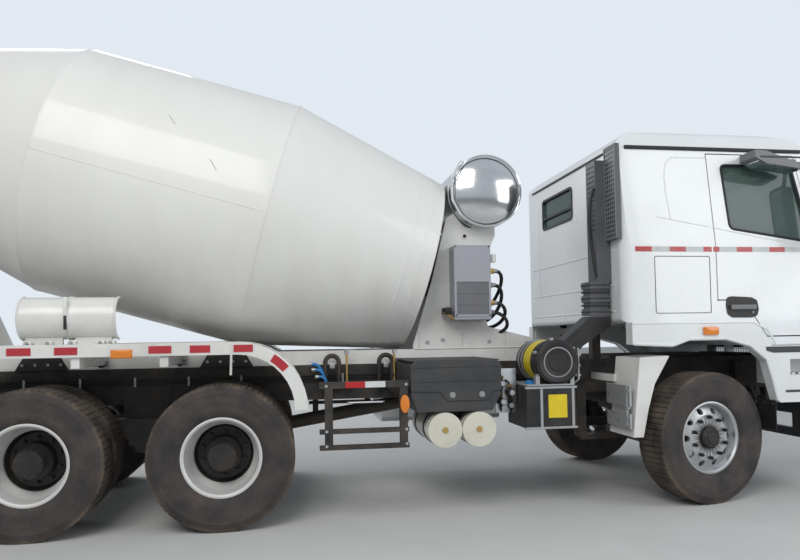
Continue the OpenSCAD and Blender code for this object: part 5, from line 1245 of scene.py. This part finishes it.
# Front pedestal: holes drawn as near-black discs of painted shade, bolts, web lines and the weld bead where
# it stands on the long beam
pedestal = {"holes": [(1.335, 2.31), (1.31, 2.05)],
            "bolts": [(1.12, 1.38), (1.55, 1.36), (1.90, 1.34), (0.98, 1.36)],
            "webs": (0.905, 1.30, 1.70, 1.98), "webZ": (1.302, 1.44), "beadX": (0.86, 2.00)}
bm = bmesh.new()
y, (z0, z1) = frameHalf - 0.004, pedestal["webZ"]
for side in sides.values():
    # Each hole is a near-black disc in a white ring: painted shade in place of the opening
    for x, z in pedestal["holes"]:
        rodsIn(bm, [((x, y, z), (x, y + 0.008, z), 0.026, 20, 0),
                    ((x, y, z), (x, y + 0.010, z), 0.016, 20, 1)], side)
    rodsIn(bm, [((x, y, z), (x, y + 0.010, z), 0.016, 6, 2) for x, z in pedestal["bolts"]], side)
    blocksIn(bm, [((x, y, z0), (x + 0.004, y + 0.006, z1), 0) for x in pedestal["webs"]], side)
    tubesIn(bm, [([(x, frameHalf - 0.003, z0) for x in pedestal["beadX"]], 0.006, 6)], side)
addPiece("pedestalTrim", bm, "chassis", "frame_white", bodyWhite, sealRubber, boltSteel, smooth=True)

# Fuel tank: straps, cap and ribbed step
fuelTank = {
    "straps": [0.93, 1.65], "strapHalf": 0.025, "strapThick": 0.008,
    "around": [(0.470, 0.553), (1.110, 0.553), (1.180, 0.575), (1.220, 0.620), (1.227, 0.670), (1.227, 1.010),
               (1.220, 1.060), (1.180, 1.105), (1.110, 1.127), (0.470, 1.127)],
    "cap": (1.10, 0.80), "step": ((1.30, 0.62, 1.120), (1.80, 1.10, 1.132), 0.004, 2, 2), "ribs": 9,
    "ribPitch": 0.052,
}
bm = bmesh.new()
for x in fuelTank["straps"]:
    x0, x1 = x - fuelTank["strapHalf"], x + fuelTank["strapHalf"]
    for (ya, za), (yb, zb) in zip(fuelTank["around"], fuelTank["around"][1:]):
        inward = Vector((0, zb - za, ya - yb)).normalized() * -fuelTank["strapThick"]
        plateIn(bm, [(x0, ya, za), (x1, ya, za), (x1, yb, zb), (x0, yb, zb)], inward)
x, y = fuelTank["cap"]
rodIn(bm, (x, y, 1.115), (x, y, 1.150), 0.055, 24, 1)
rodIn(bm, (x, y, 1.148), (x, y, 1.160), 0.048, 24, 1)
blockIn(bm, *fuelTank["step"])
for i in range(fuelTank["ribs"]):
    x = 1.32 + i * fuelTank["ribPitch"]
    blockIn(bm, (x, 0.64, 1.130), (x + 0.025, 1.08, 1.138), 0.002, 1, 2)
addPiece("fuelTankTrim", bm, "chassis", "aluminium", galvanised, blackPlastic, aluminium)
print("tanks dressed")

# Drum: weld seams, grey strokes of painted shade at its dents, hatch, ring face and mouth bolts, all turning
# with it
# The drum's joint stands at its head disc; heights run from there to the mouth along its axis
drumShape = {
    "tilt": 15.0, "profile": [(0.800, 0.0), (1.115, 1.420), (1.080, 3.200), (0.550, 5.050)],
    "seams": [0.012, 1.42, 3.20], "seamHalf": 0.011, "seamProud": 0.003, "seamBead": 0.007,
    "lengthSeams": [(0.03, 1.42, 60.0), (1.43, 3.20, 267.0), (3.21, 4.20, 150.0), (4.40, 5.04, 210.0)],
    "hatch": (2.20, 62.0, 0.24, 0.17), "hatchBolts": 12, "ring": (0.825, 4.249, 4.351),
    "headRibs": (0.10, 0.22), "headBolts": (0.150, 12, -0.055, -0.030),
    "mouthBolts": (0.566, 24, 4.992, 5.008),
    "mouth": [(0.578, 5.004), (0.578, 5.040), (0.566, 5.048), (0.546, 5.048), (0.546, 5.040)],
    "dents": [(2.26, 294.0), (1.86, 279.0), (2.60, 120.0), (1.90, 20.0)], "scuff": 0.005,
}
drumTurn = Matrix.Rotation(math.radians(drumShape["tilt"] - 90.0), 4, "Y")
headPlace = Matrix.Translation(jointOf["drum"]["pos_m"]) @ drumTurn


def drumRadius(s):
    for (r0, s0), (r1, s1) in zip(drumShape["profile"], drumShape["profile"][1:]):
        if s <= s1:
            return r0 + (r1 - r0) * (s - s0) / (s1 - s0)
    return drumShape["profile"][-1][0]


def onDrum(s, angle, out=0.0):
    turn = math.radians(angle)
    r = drumRadius(s) + out
    return headPlace @ Vector((r * math.cos(turn), r * math.sin(turn), s))


# Bolts on a circle about an axis, from one height to the other
def boltCircle(bm, place, circle, radius, sides=6, index=1):
    r, count, low, high = circle
    for foot, head in zip(circlePoints(r, low, count, place), circlePoints(r, high, count, place)):
        rodIn(bm, foot, head, radius, sides, index)


bm = bmesh.new()
half, proud = drumShape["seamHalf"], drumShape["seamProud"]
for s in drumShape["seams"]:
    spinProfile(bm, [(drumRadius(s - half) - 0.002, s - half), (drumRadius(s) + proud, s - half * 0.35),
                     (drumRadius(s) + proud, s + half * 0.35), (drumRadius(s + half) - 0.002, s + half)],
                headPlace, 120, 0)
for s0, s1, angle in drumShape["lengthSeams"]:
    points = [onDrum(s0 + (s1 - s0) * i / 14, angle, -0.0035) for i in range(15)]
    tubeIn(bm, points, drumShape["seamBead"], 6, 0)
addPiece("drumSeams", bm, "drum", "drum_cream", drumCream, smooth=True)
bm = bmesh.new()
s, angle, halfLong, halfWide = drumShape["hatch"]
centre = onDrum(s, angle)
outward = (onDrum(s, angle, 0.1) - centre).normalized()
along = (onDrum(s + 0.1, angle) - centre).normalized()
across = outward.cross(along)


def hatchOval(count, inset, out, start=0.0):
    long, wide = along * (halfLong - inset), across * (halfWide - inset)
    turns = [2 * math.pi * (i + start) / count for i in range(count)]
    return [centre + long * math.cos(turn) + wide * math.sin(turn) + outward * out for turn in turns]


plateIn(bm, hatchOval(24, 0.0, -0.016), outward * 0.034, 0, 0, 0.004)
boltsIn(bm, hatchOval(drumShape["hatchBolts"], 0.025, 0.017, 0.5), outward, 0.011, 0.014, 1)
addPiece("drumHatch", bm, "drum", "drum_cream", drumCream, boltSteel)
bm = bmesh.new()
r, s0, s1 = drumShape["ring"]
bandIn(bm, headPlace, r, 0.0004, s0, s1, 120, slope=0.004)
addPiece("ringFace", bm, "drum", "steel", polishedSteel, smooth=True)
bm = bmesh.new()
boltCircle(bm, headPlace, drumShape["mouthBolts"], 0.009)
spinProfile(bm, [(drumRadius(4.985) - 0.001, 4.985), (drumRadius(4.985) + 0.012, 4.990)] + drumShape["mouth"],
            headPlace, 96, 0)
for s in drumShape["headRibs"]:
    spinProfile(bm, [(drumRadius(s) - 0.001, s), (drumRadius(s) + 0.003, s + 0.004),
                     (drumRadius(s + 0.03) + 0.003, s + 0.026), (drumRadius(s + 0.03) - 0.001, s + 0.03)],
                headPlace, 96, 0)
boltCircle(bm, headPlace, drumShape["headBolts"], 0.012)
addPiece("drumRims", bm, "drum", "drum_cream", drumCream, boltSteel)
# Grey strokes at the dents: painted shade of the small dents, drawn as colour rather than shape
bm = bmesh.new()
for s, angle in drumShape["dents"]:
    for i in range(3):
        at, turn = s + 0.02 * i, angle + (i - 1) * 1.1
        p, q = onDrum(at, turn, -0.0035), onDrum(at + 0.03, turn + 1.6, -0.0035)
        lift = (p + q - 2 * Vector(jointOf["drum"]["pos_m"])).normalized() * 0.0012
        tubeIn(bm, [p, (p + q) / 2 + lift, q], drumShape["scuff"], 6)
addPiece("drumScuffs", bm, "drum", "drum_cream", scuffGrey, smooth=True)
print("drum dressed")

# Drum drive: bolts, ribs and pipe stubs of the motor
driveShape = {"bolts": [((0.222, 16, 0.358, 0.382), 0.012), ((0.165, 12, 0.445, 0.469), 0.010),
                        ((0.070, 6, 0.645, 0.669), 0.009)],
              "ribs": (0.247, 10, (0.14, 0.24, 0.34)), "stubs": [(-0.06, 0.03), (0.04, -0.05)],
              "stubZ": (0.655, 0.70)}
bm = bmesh.new()
drivePlace = headPlace @ Matrix.Rotation(math.pi, 4, "X")
for circle, radius in driveShape["bolts"]:
    boltCircle(bm, drivePlace, circle, radius)
r, count, heights = driveShape["ribs"]
for points in zip(*(circlePoints(r, height, count, drivePlace) for height in heights)):
    tubeIn(bm, points, 0.010, 6, 0)
for x, y in driveShape["stubs"]:
    foot, head = (drivePlace @ Vector((x, y, z)) for z in driveShape["stubZ"])
    rodIn(bm, foot, head, 0.028, 12, 2)
addPiece("driveTrim", bm, "chassis", "machine_grey", oilyIron, boltSteel, brassFitting, smooth=True)

# Rear pedestal: ribs along its legs, lightening holes drawn as near-black discs of painted shade, and bolts
rearPedestal = {"legs": [((-3.10, 1.34), (-3.30, 2.12)), ((-2.82, 1.34), (-3.12, 2.12))],
                "holes": [(-3.00, 1.62, 0.055), (-3.09, 1.90, 0.040)], "boltX": (-3.1, -2.98, -2.86, -2.74),
                "boltZ": 1.275}
bm = bmesh.new()
for side in sides.values():
    for (xa, za), (xb, zb) in rearPedestal["legs"]:
        tubeIn(bm, xz([(xa, za), ((xa + xb) / 2, (za + zb) / 2), (xb, zb)], 0.413, side), 0.010, 6)
    # Each lightening hole is a near-black disc: painted shade in place of the opening
    for x, z, radius in rearPedestal["holes"]:
        rodsIn(bm, [((x, 0.410, z), (x, 0.418, z), radius, 24, 1)], side)
    places = [(x, side * 0.411, rearPedestal["boltZ"]) for x in rearPedestal["boltX"]]
    boltsIn(bm, places, (0, side, 0), 0.013, 0.010, 2)
addPiece("rearPedestalTrim", bm, "chassis", "frame_white", bodyWhite, sealRubber, boltSteel, smooth=True)

# Frame: rows of rivets and the pipe run along the web with its clips
frameTrim = {"rivetX": (-3.15, 4.2), "pitch": 0.10, "rows": [0.935, 1.130], "pipes": 3,
             "pipeX": (-2.9, -1.0, 0.7),
             "pipeZ": (1.09, 1.088, 1.09), "pipePitch": 0.022, "clips": 9, "clipFrom": -2.8,
             "clipPitch": 0.43,
             "clipZ": (1.028, 1.105)}
bm = bmesh.new()
y = frameHalf - 0.001
for side in sides.values():
    x, end = frameTrim["rivetX"]
    while x < end:
        rodsIn(bm, [((x, y, z), (x, y + 0.008, z), 0.010, 6, 0) for z in frameTrim["rows"]], side)
        x += frameTrim["pitch"]
z0, z1 = frameTrim["clipZ"]
for side in sides.values():
    for i in range(frameTrim["pipes"]):
        tubesIn(bm, [([(x, frameHalf + 0.014, z - frameTrim["pipePitch"] * i)
                       for x, z in zip(frameTrim["pipeX"], frameTrim["pipeZ"])], 0.006, 6, 1)], side)
    for i in range(frameTrim["clips"]):
        x = frameTrim["clipFrom"] + i * frameTrim["clipPitch"]
        blocksIn(bm, [((x, frameHalf, z0), (x + 0.02, frameHalf + 0.026, z1), 0.003, 1, 2)], side)
addPiece("frameRivets", bm, "chassis", "chassis_black", chassisBlack, blackPlastic, galvanised)

# Axles: brake chambers, U bolts with their plates, covers of the axle housings
axleTrim = {
    "chamberAt": (0.20, 0.40, 0.02), "arm": ((0.06, 0.36, -0.02), (0.14, 0.50, 0.03)),
    "chamber": [((0, 0, 0), (0.14, 0, 0.02), 0.075, 20, 0, 0.085),
                ((0.14, 0, 0.02), (0.155, 0, 0.022), 0.092, 20, 1),
                ((0.155, 0, 0.022), (0.25, 0, 0.035), 0.085, 20, 0, 0.070),
                ((-0.10, 0.02, -0.02), (0, 0, 0), 0.014, 8, 1)],
    "cover": [(0.160, 0.0), (0.160, 0.012), (0.120, 0.040), (0.04, 0.062), (0.0, 0.064)], "coverBack": 0.168,
    "coverBolts": (0.147, 0.010, 12),
}
springTrim = {
    "boltY": ((0.440, 0.455), (0.500, 0.485)), "plateY": (0.425, 0.515),
    "rear": {"apart": 0.10, "boltZ": (0.24, -0.075, -0.088), "radius": 0.012,
             "plate": (0.13, -0.105, -0.076)},
    "front": {"apart": 0.075, "boltZ": (0.60, 0.345, 0.335), "radius": 0.010, "plate": (0.09, 0.555, 0.585)},
    "shock": [((0.10, 0.56, 0.42), (0.26, 0.50, 0.72), 0.032, 14, 0),
              ((0.26, 0.50, 0.72), (0.34, 0.47, 0.88), 0.020, 12, 1)],
}


# U bolts about a spring, and the plate across them
def springBolts(bm, side, x, z, size):
    high, low, foot = (z + up for up in size["boltZ"])
    for at in (x - size["apart"], x + size["apart"]):
        for y, inside in springTrim["boltY"]:
            tubesIn(bm, [([(at, y, high), (at, y, low), (at, inside, foot)], size["radius"], 8, 1)], side)
    (y0, y1), (half, z0, z1) = springTrim["plateY"], size["plate"]
    blocksIn(bm, [((x - half, y0, z + z0), (x + half, y1, z + z1), 0.006, 2, 0)], side)


bm = bmesh.new()
for x in (rearX, midX):
    for side in sides.values():
        dx, dy, dz = axleTrim["chamberAt"]
        at = Vector((x + dx, side * dy, hubZ + dz))
        for a, b, *rest in axleTrim["chamber"]:
            rodIn(bm, *(at + Vector(p) for p in mirrored((a, b), side)), *rest)
        low, high = ((x + px, py, hubZ + pz) for px, py, pz in axleTrim["arm"])
        blocksIn(bm, [(low, high, 0.008, 2, 0)], side)
        springBolts(bm, side, x, hubZ, springTrim["rear"])
    place = Matrix.Translation((x - axleTrim["coverBack"], 0, hubZ)) @ Matrix.Rotation(-math.pi / 2, 4, "Y")
    spinProfile(bm, axleTrim["cover"], place, 32, 0)
    boltsIn(bm, circlePoints(*axleTrim["coverBolts"], place), (-1, 0, 0), 0.010, 0.014, 1)
addPiece("axleTrim", bm, "chassis", "chassis_black", oilyIron, boltSteel, smooth=True)
bm = bmesh.new()
for side in sides.values():
    springBolts(bm, side, steerX, 0, springTrim["front"])
    for (xa, ya, za), (xb, yb, zb), *rest in springTrim["shock"]:
        rodsIn(bm, [((steerX + xa, ya, za), (steerX + xb, yb, zb), *rest)], side)
addPiece("frontSpringTrim", bm, "chassis", "chassis_black", chassisBlack, boltSteel, smooth=True)

# Radiator ahead of the engine, and the rubber flaps ahead of the steered wheels
radiator = {"x": (4.190, 4.230), "half": 0.400, "z": (0.800, 1.205), "tank": 0.045, "fins": 28}
flap = {"x": 3.790, "y": (0.930, 1.205), "z": (0.580, 0.830), "thick": 0.008, "stayZ": 0.925,
        "boltY": (0.96, 1.07, 1.17)}
bm = bmesh.new()
(x0, x1), half, (z0, z1), tank = (radiator[key] for key in ("x", "half", "z", "tank"))
blockIn(bm, (x0 + 0.006, -half + 0.02, z0 + 0.02), (x1 - 0.006, half - 0.02, z1 - 0.02), 0.0, 1, 1)
for z in (z0, z1 - tank):
    blockIn(bm, (x0 - 0.012, -half, z), (x1 + 0.012, half, z + tank), 0.010)
for y in (-half, half - 0.030):
    blockIn(bm, (x0 - 0.004, y, z0), (x1 + 0.004, y + 0.030, z1), 0.004)
for i in range(radiator["fins"]):
    y = -half + 0.035 + (2 * half - 0.07) * i / (radiator["fins"] - 1)
    blockIn(bm, (x0 + 0.001, y - 0.003, z0 + tank), (x1 - 0.001, y + 0.003, z1 - tank), 0.0, 1, 1)
addPiece("radiator", bm, "chassis", "machine_grey", oilyIron, coolerFins)
bm = bmesh.new()
x, (y0, y1), (z0, z1), stayZ = (flap[key] for key in ("x", "y", "z", "stayZ"))
for side in sides.values():
    blocksIn(bm, [((x, y0, z0), (x + flap["thick"], y1, z1), 0.003)], side)
    stay = [(x + 0.02, frameHalf - 0.01, stayZ), (x + 0.02, y0 - 0.06, stayZ),
            (x + 0.015, y0 + 0.02, z1 - 0.03), (x + 0.015, y1 - 0.03, z1 - 0.03)]
    tubesIn(bm, [(stay, 0.010, 8, 1)], side)
    boltsIn(bm, [(x + 0.002, side * y, z1 - 0.03) for y in flap["boltY"]], (-1, 0, 0), 0.010, 0.008, 2)
addPiece("frontFlaps", bm, "chassis", "dark_plastic", blackPlastic, chassisBlack, boltSteel)
print("running gear dressed")

# Hopper: rolled lips, and ribs down its sides and rear to the spout
hopperTrim = {"lipZ": 3.971, "half": 0.560, "x": (-4.600, -3.957), "lip": 0.012, "rib": 0.010,
              "spout": (-4.137, 0.240, 3.471), "sideRibs": (0.25, 0.55, 0.85), "rearRibs": (-0.5, 0.0, 0.5)}
bm = bmesh.new()
(x0, x1), half, lip, rib = (hopperTrim[key] for key in ("x", "half", "lip", "rib"))
z, top = hopperTrim["lipZ"] - 0.006, hopperTrim["lipZ"] - 0.03
for xa, ya, xb, yb in ((x0 + lip, -half + lip, x1, -half + lip), (x0 + lip, half - lip, x1, half - lip),
                       (x0 + lip, -half + lip, x0 + lip, half - lip)):
    tubeIn(bm, [(xa, ya, z), (xb, yb, z)], lip, 8)
spoutX, spoutY, low = hopperTrim["spout"]
ribEnds = []
for side in sides.values():
    for share in hopperTrim["sideRibs"]:
        ribEnds.append(((x0 + (x1 - x0) * share * 0.9 + 0.03, side * (half - 0.001), top),
                        (spoutX + 0.34 * share * 0.9 + 0.02, side * (spoutY + 0.004), low)))
for share in hopperTrim["rearRibs"]:
    ribEnds.append(((x0 + 0.004, half * share, top), (spoutX + 0.003, spoutY * share, low)))
for head, foot in ribEnds:
    head, foot = Vector(head), Vector(foot)
    tubeIn(bm, [head, (head + foot) / 2, foot], rib, 6)
addPiece("hopperRibs", bm, "chassis", "frame_white", bodyWhite, smooth=True)

# Funnel: strips around its rims, and bolts on its sides
funnel = {"x": (-4.34, -4.07), "y": 0.430, "stripZ": (3.035, 2.735), "boltZ": (2.80, 2.88, 2.96),
          "boltX": -4.20,
          "rear": (-4.350, -4.340, 0.435), "rearZ": (2.740, 3.030)}
bm = bmesh.new()
(x0, x1), y = funnel["x"], funnel["y"]
for side in sides.values():
    blocksIn(bm, [((x0, y, z), (x1, y + 0.006, z + 0.020), 0.003) for z in funnel["stripZ"]], side)
    rodsIn(bm, [((funnel["boltX"], y, z), (funnel["boltX"], y + 0.010, z), 0.009, 6, 1)
                for z in funnel["boltZ"]], side)
x0, x1, half = funnel["rear"]
for z in funnel["rearZ"]:
    blockIn(bm, (x0, -half, z), (x1, half, z + 0.016), 0.003)
addPiece("funnelTrim", bm, "chassis", "frame_white", bodyWhite, boltSteel)

# Chute: rims and ribs, given in the arm's own directions
chuteTrim = {"rim": 0.009, "rib": 0.008, "park": -75.0, "r": 0.210, "z": 0.360,
             "rimX": (0.176, -0.32, -0.895), "ribX": (0.168, -0.36, -0.70, -0.885)}
armTurn = Matrix.Rotation(math.radians(chuteTrim["park"]), 4, "Z")
armPlace = Matrix.Translation(jointOf["chute_arm"]["pos_m"]) @ armTurn
bm = bmesh.new()
r, z = chuteTrim["r"], chuteTrim["z"]
for side in sides.values():
    points = [armPlace @ Vector((x, side * (r - 0.003), z - 0.004)) for x in chuteTrim["rimX"]]
    tubeIn(bm, points, chuteTrim["rim"], 8)
halfTurn = [180 + 11.25 * i for i in range(17)]
for x in chuteTrim["ribX"]:
    arc = arcXZ(0, z, r + 0.004, halfTurn)
    tubeIn(bm, [armPlace @ Vector((x, across, up)) for across, up in arc], chuteTrim["rib"], 6)
addPiece("chuteRims", bm, "chute", "frame_white", bodyWhite, smooth=True)

# Carried chutes: end flanges, rims, the catch and the rack's feet
carried = {
    "x": (-2.160, -1.820), "ends": (0.004, 0.326), "at": (-1.035, 1.585, 0.155), "rimY": -1.040,
    "rimZ": (1.735, 1.438),
    "catch": [((-1.844, -1.203, 1.600), (-1.816, -1.178, 1.735), 0.005),
              ((-1.840, -1.203, 1.500), (-1.820, -1.186, 1.600), 0.004, 2, 1)],
    "feet": (-2.10, -1.96, -1.80, -1.60, -1.53),
}
bm = bmesh.new()
y, z, r = carried["at"]
for x0 in carried["x"]:
    first, last = (x0 + end for end in carried["ends"])
    for x in (first, last):
        tubeIn(bm, [(x, y - r * math.cos(math.radians(a - 270)), z + r * math.sin(math.radians(a - 270)))
                    for a in halfTurn], 0.009, 6)
    for z0 in carried["rimZ"]:
        tubeIn(bm, [(x, carried["rimY"], z0) for x in (first, x0 + 0.165, last)], 0.006, 6)
blocksIn(bm, carried["catch"])
for x in carried["feet"]:
    blockIn(bm, (x - 0.03, -1.150, 1.392), (x + 0.03, -1.080, 1.418), 0.005)
    rodIn(bm, (x, -1.150, 1.405), (x, -1.168, 1.405), 0.012, 6, 2)
addPiece("carriedChuteFlanges", bm, "chassis", "frame_white", bodyWhite, blackPlastic, boltSteel, smooth=True)

# Deck and ladder: grating, end caps of the rails, treads
deckTrim = {"x": (-4.035, -2.755), "y": (-1.070, -0.800), "z": 2.734, "cells": (30, 7), "wire": 0.006}
ladder = {"railX": (-3.140, -2.780), "capZ": (0.702, 2.746), "foot": (-1.190, 0.700), "lean": 0.140 / 2.050,
          "treadX": (-3.120, -2.800), "treads": 7, "treadFrom": 0.750, "treadPitch": 0.290}
bm = bmesh.new()
(x0, x1), (y0, y1) = deckTrim["x"], deckTrim["y"]
gridIn(bm, deckTrim["cells"], (x1 - x0, y1 - y0), deckTrim["wire"])
bmesh.ops.translate(bm, vec=((x0 + x1) / 2, (y0 + y1) / 2, deckTrim["z"]), verts=bm.verts)
addPiece("deckGrating", bm, "chassis", "steel", galvanised)


def ladderY(z):
    return ladder["foot"][0] + ladder["lean"] * (z - ladder["foot"][1])


bm = bmesh.new()
for x in ladder["railX"]:
    for z in ladder["capZ"]:
        rodIn(bm, (x, ladderY(z), z - 0.006), (x, ladderY(z), z + 0.006), 0.0175, 12, 1)
x0, x1 = ladder["treadX"]
for i in range(ladder["treads"]):
    z = ladder["treadFrom"] + ladder["treadPitch"] * i
    blockIn(bm, (x0, ladderY(z) - 0.012, z + 0.010), (x1, ladderY(z) + 0.012, z + 0.016), 0.002, 1, 0)
addPiece("ladderTreads", bm, "chassis", "frame_white", bodyWhite, blackPlastic)

# Tail: lamp lenses and their rims, plate left blank, reflecting strips
tail = {"x": -3.235, "z": (0.690, 0.792), "rim": (0.618, 0.984, 0.679, 0.803), "plate": (0.26, 0.585, 0.695),
        "lenses": [("Amber", amberLens, 0.880, 0.975), ("Red", redLens, 0.745, 0.872),
                   ("Clear", clearLens, 0.628, 0.737)],
        "strips": ((0.30, 0.45), (0.47, 0.60), (1.0, 1.13)), "stripZ": (0.575, 0.625)}
x, (z0, z1) = tail["x"], tail["z"]
for lensName, material, y0, y1 in tail["lenses"]:
    bm = bmesh.new()
    for side in sides.values():
        blocksIn(bm, [((x - 0.010, y0, z0), (x + 0.001, y1, z1), 0.005, 3)], side)
    addPiece("tailLens" + lensName, bm, "chassis", "lamp", material, smooth=True)
bm = bmesh.new()
y0, y1, z0, z1 = tail["rim"]
for side in sides.values():
    outline = rect(*sorted((side * y0, side * y1)), z0, z1)
    sealIn(bm, [(x - 0.0005, y, z) for y, z in outline], 0.01, 0.010, (-0.007, 0, 0))
half, z0, z1 = tail["plate"]
blockIn(bm, (-3.246, -half - 0.01, z0 - 0.01), (-3.238, half + 0.01, z1 + 0.01), 0.003, 2, 0)
blockIn(bm, (-3.250, -half, z0), (-3.245, half, z1), 0.002, 2, 1)
addPiece("tailTrim", bm, "chassis", "dark_plastic", blackPlastic, bodyWhite)
bm = bmesh.new()
z0, z1 = tail["stripZ"]
for side in sides.values():
    blocksIn(bm, [((-3.243, y0, z0), (-3.238, y1, z1), 0.002, 1) for y0, y1 in tail["strips"]], side)
addPiece("tailReflectors", bm, "chassis", "lamp", redLens)
print("rear dressed")

# Camera, lights and floor
cameraFit = {"place": (-0.266, -6.591, 1.419), "yaw": 9.22, "pitch": 2.52, "roll": -0.867,
             "lens": 31.81, "shiftY": 0.031}
yaw, pitch, roll = (math.radians(cameraFit[k]) for k in ("yaw", "pitch", "roll"))
forward = Vector((math.sin(yaw) * math.cos(pitch), math.cos(yaw) * math.cos(pitch), math.sin(pitch)))
level = Vector((math.cos(yaw), -math.sin(yaw), 0))
upright = level.cross(forward)
sideways = level * math.cos(roll) + upright * math.sin(roll)
upwards = upright * math.cos(roll) - level * math.sin(roll)
cameraData = bpy.data.cameras.new("photoCamera")
cameraData.lens = cameraFit["lens"]
cameraData.sensor_width = 36
cameraData.shift_y = cameraFit["shiftY"]
cameraData.clip_end = 200
camera = bpy.data.objects.new("photoCamera", cameraData)
camera.matrix_world = Matrix.Translation(cameraFit["place"]) @ Matrix(
    (sideways, upwards, -forward)).transposed().to_4x4()
bpy.context.scene.collection.objects.link(camera)
bpy.context.scene.camera = camera

lampSettings = [
    ("keyLamp", (-3.0, -9.0, 8.5), (0.0, 0.0, 1.6), 6.0, 620, (1.0, 0.985, 0.96)),
    ("fillLamp", (8.0, -6.0, 4.0), (1.0, 0.0, 1.5), 5.0, 220, (0.96, 0.98, 1.0)),
    ("backLamp", (-5.0, 8.0, 7.0), (0.0, 0.0, 1.8), 6.0, 420, (1.0, 1.0, 1.0)),
]
for lampName, lampAt, lampAim, lampSize, lampPower, lampColour in lampSettings:
    data = bpy.data.lights.new(lampName, "AREA")
    data.size = lampSize
    data.energy = lampPower
    data.color = lampColour
    lamp = bpy.data.objects.new(lampName, data)
    lamp.location = lampAt
    lamp.rotation_euler = (Vector(lampAt) - Vector(lampAim)).to_track_quat("Z", "Y").to_euler()
    bpy.context.scene.collection.objects.link(lamp)

studio = {"sky": (0.80, 0.86, 0.93, 1), "reflected": 0.45, "strength": (0.46, 0.95),
          "floorTones": ([0.62, 0.62, 0.61, 1], [0.58, 0.58, 0.57, 1]), "floorSize": 60,
          "floorRoughness": 0.8}
world = bpy.data.worlds.new("studioWorld")
world.use_nodes = True
bpy.context.scene.world = world
tree = world.node_tree
background = tree.nodes["Background"]
background.inputs["Color"].default_value = studio["sky"]
rays = addNode(tree, "ShaderNodeLightPath")
seen = mathOf(tree, "MAXIMUM", rays.outputs["Is Camera Ray"], rays.outputs["Is Transmission Ray"])
glossy = mathOf(tree, "MULTIPLY", rays.outputs["Is Glossy Ray"], studio["reflected"])
seen = mathOf(tree, "MAXIMUM", seen, glossy)
socketIn(background, "Strength", rampOf(tree, seen, 0.0, 1.0, *studio["strength"]))

floorMaterial, tree, shader = newMaterial("paleFloor", studio["floorRoughness"])
cloud = rampOf(tree, noiseOf(tree, 1.5, 4), 0.3, 0.7)
socketIn(shader, "Base Color", mixColour(tree, cloud, *studio["floorTones"]))
bm = bmesh.new()
bmesh.ops.create_grid(bm, x_segments=1, y_segments=1, size=studio["floorSize"])
floorMesh = bpy.data.meshes.new("floor")
bm.to_mesh(floorMesh)
bm.free()
floorMesh.materials.append(floorMaterial)
floor = bpy.data.objects.new("floor", floorMesh)
bpy.context.scene.collection.objects.link(floor)
bpy.context.scene.view_settings.view_transform = "Standard"
print("camera and lights set")
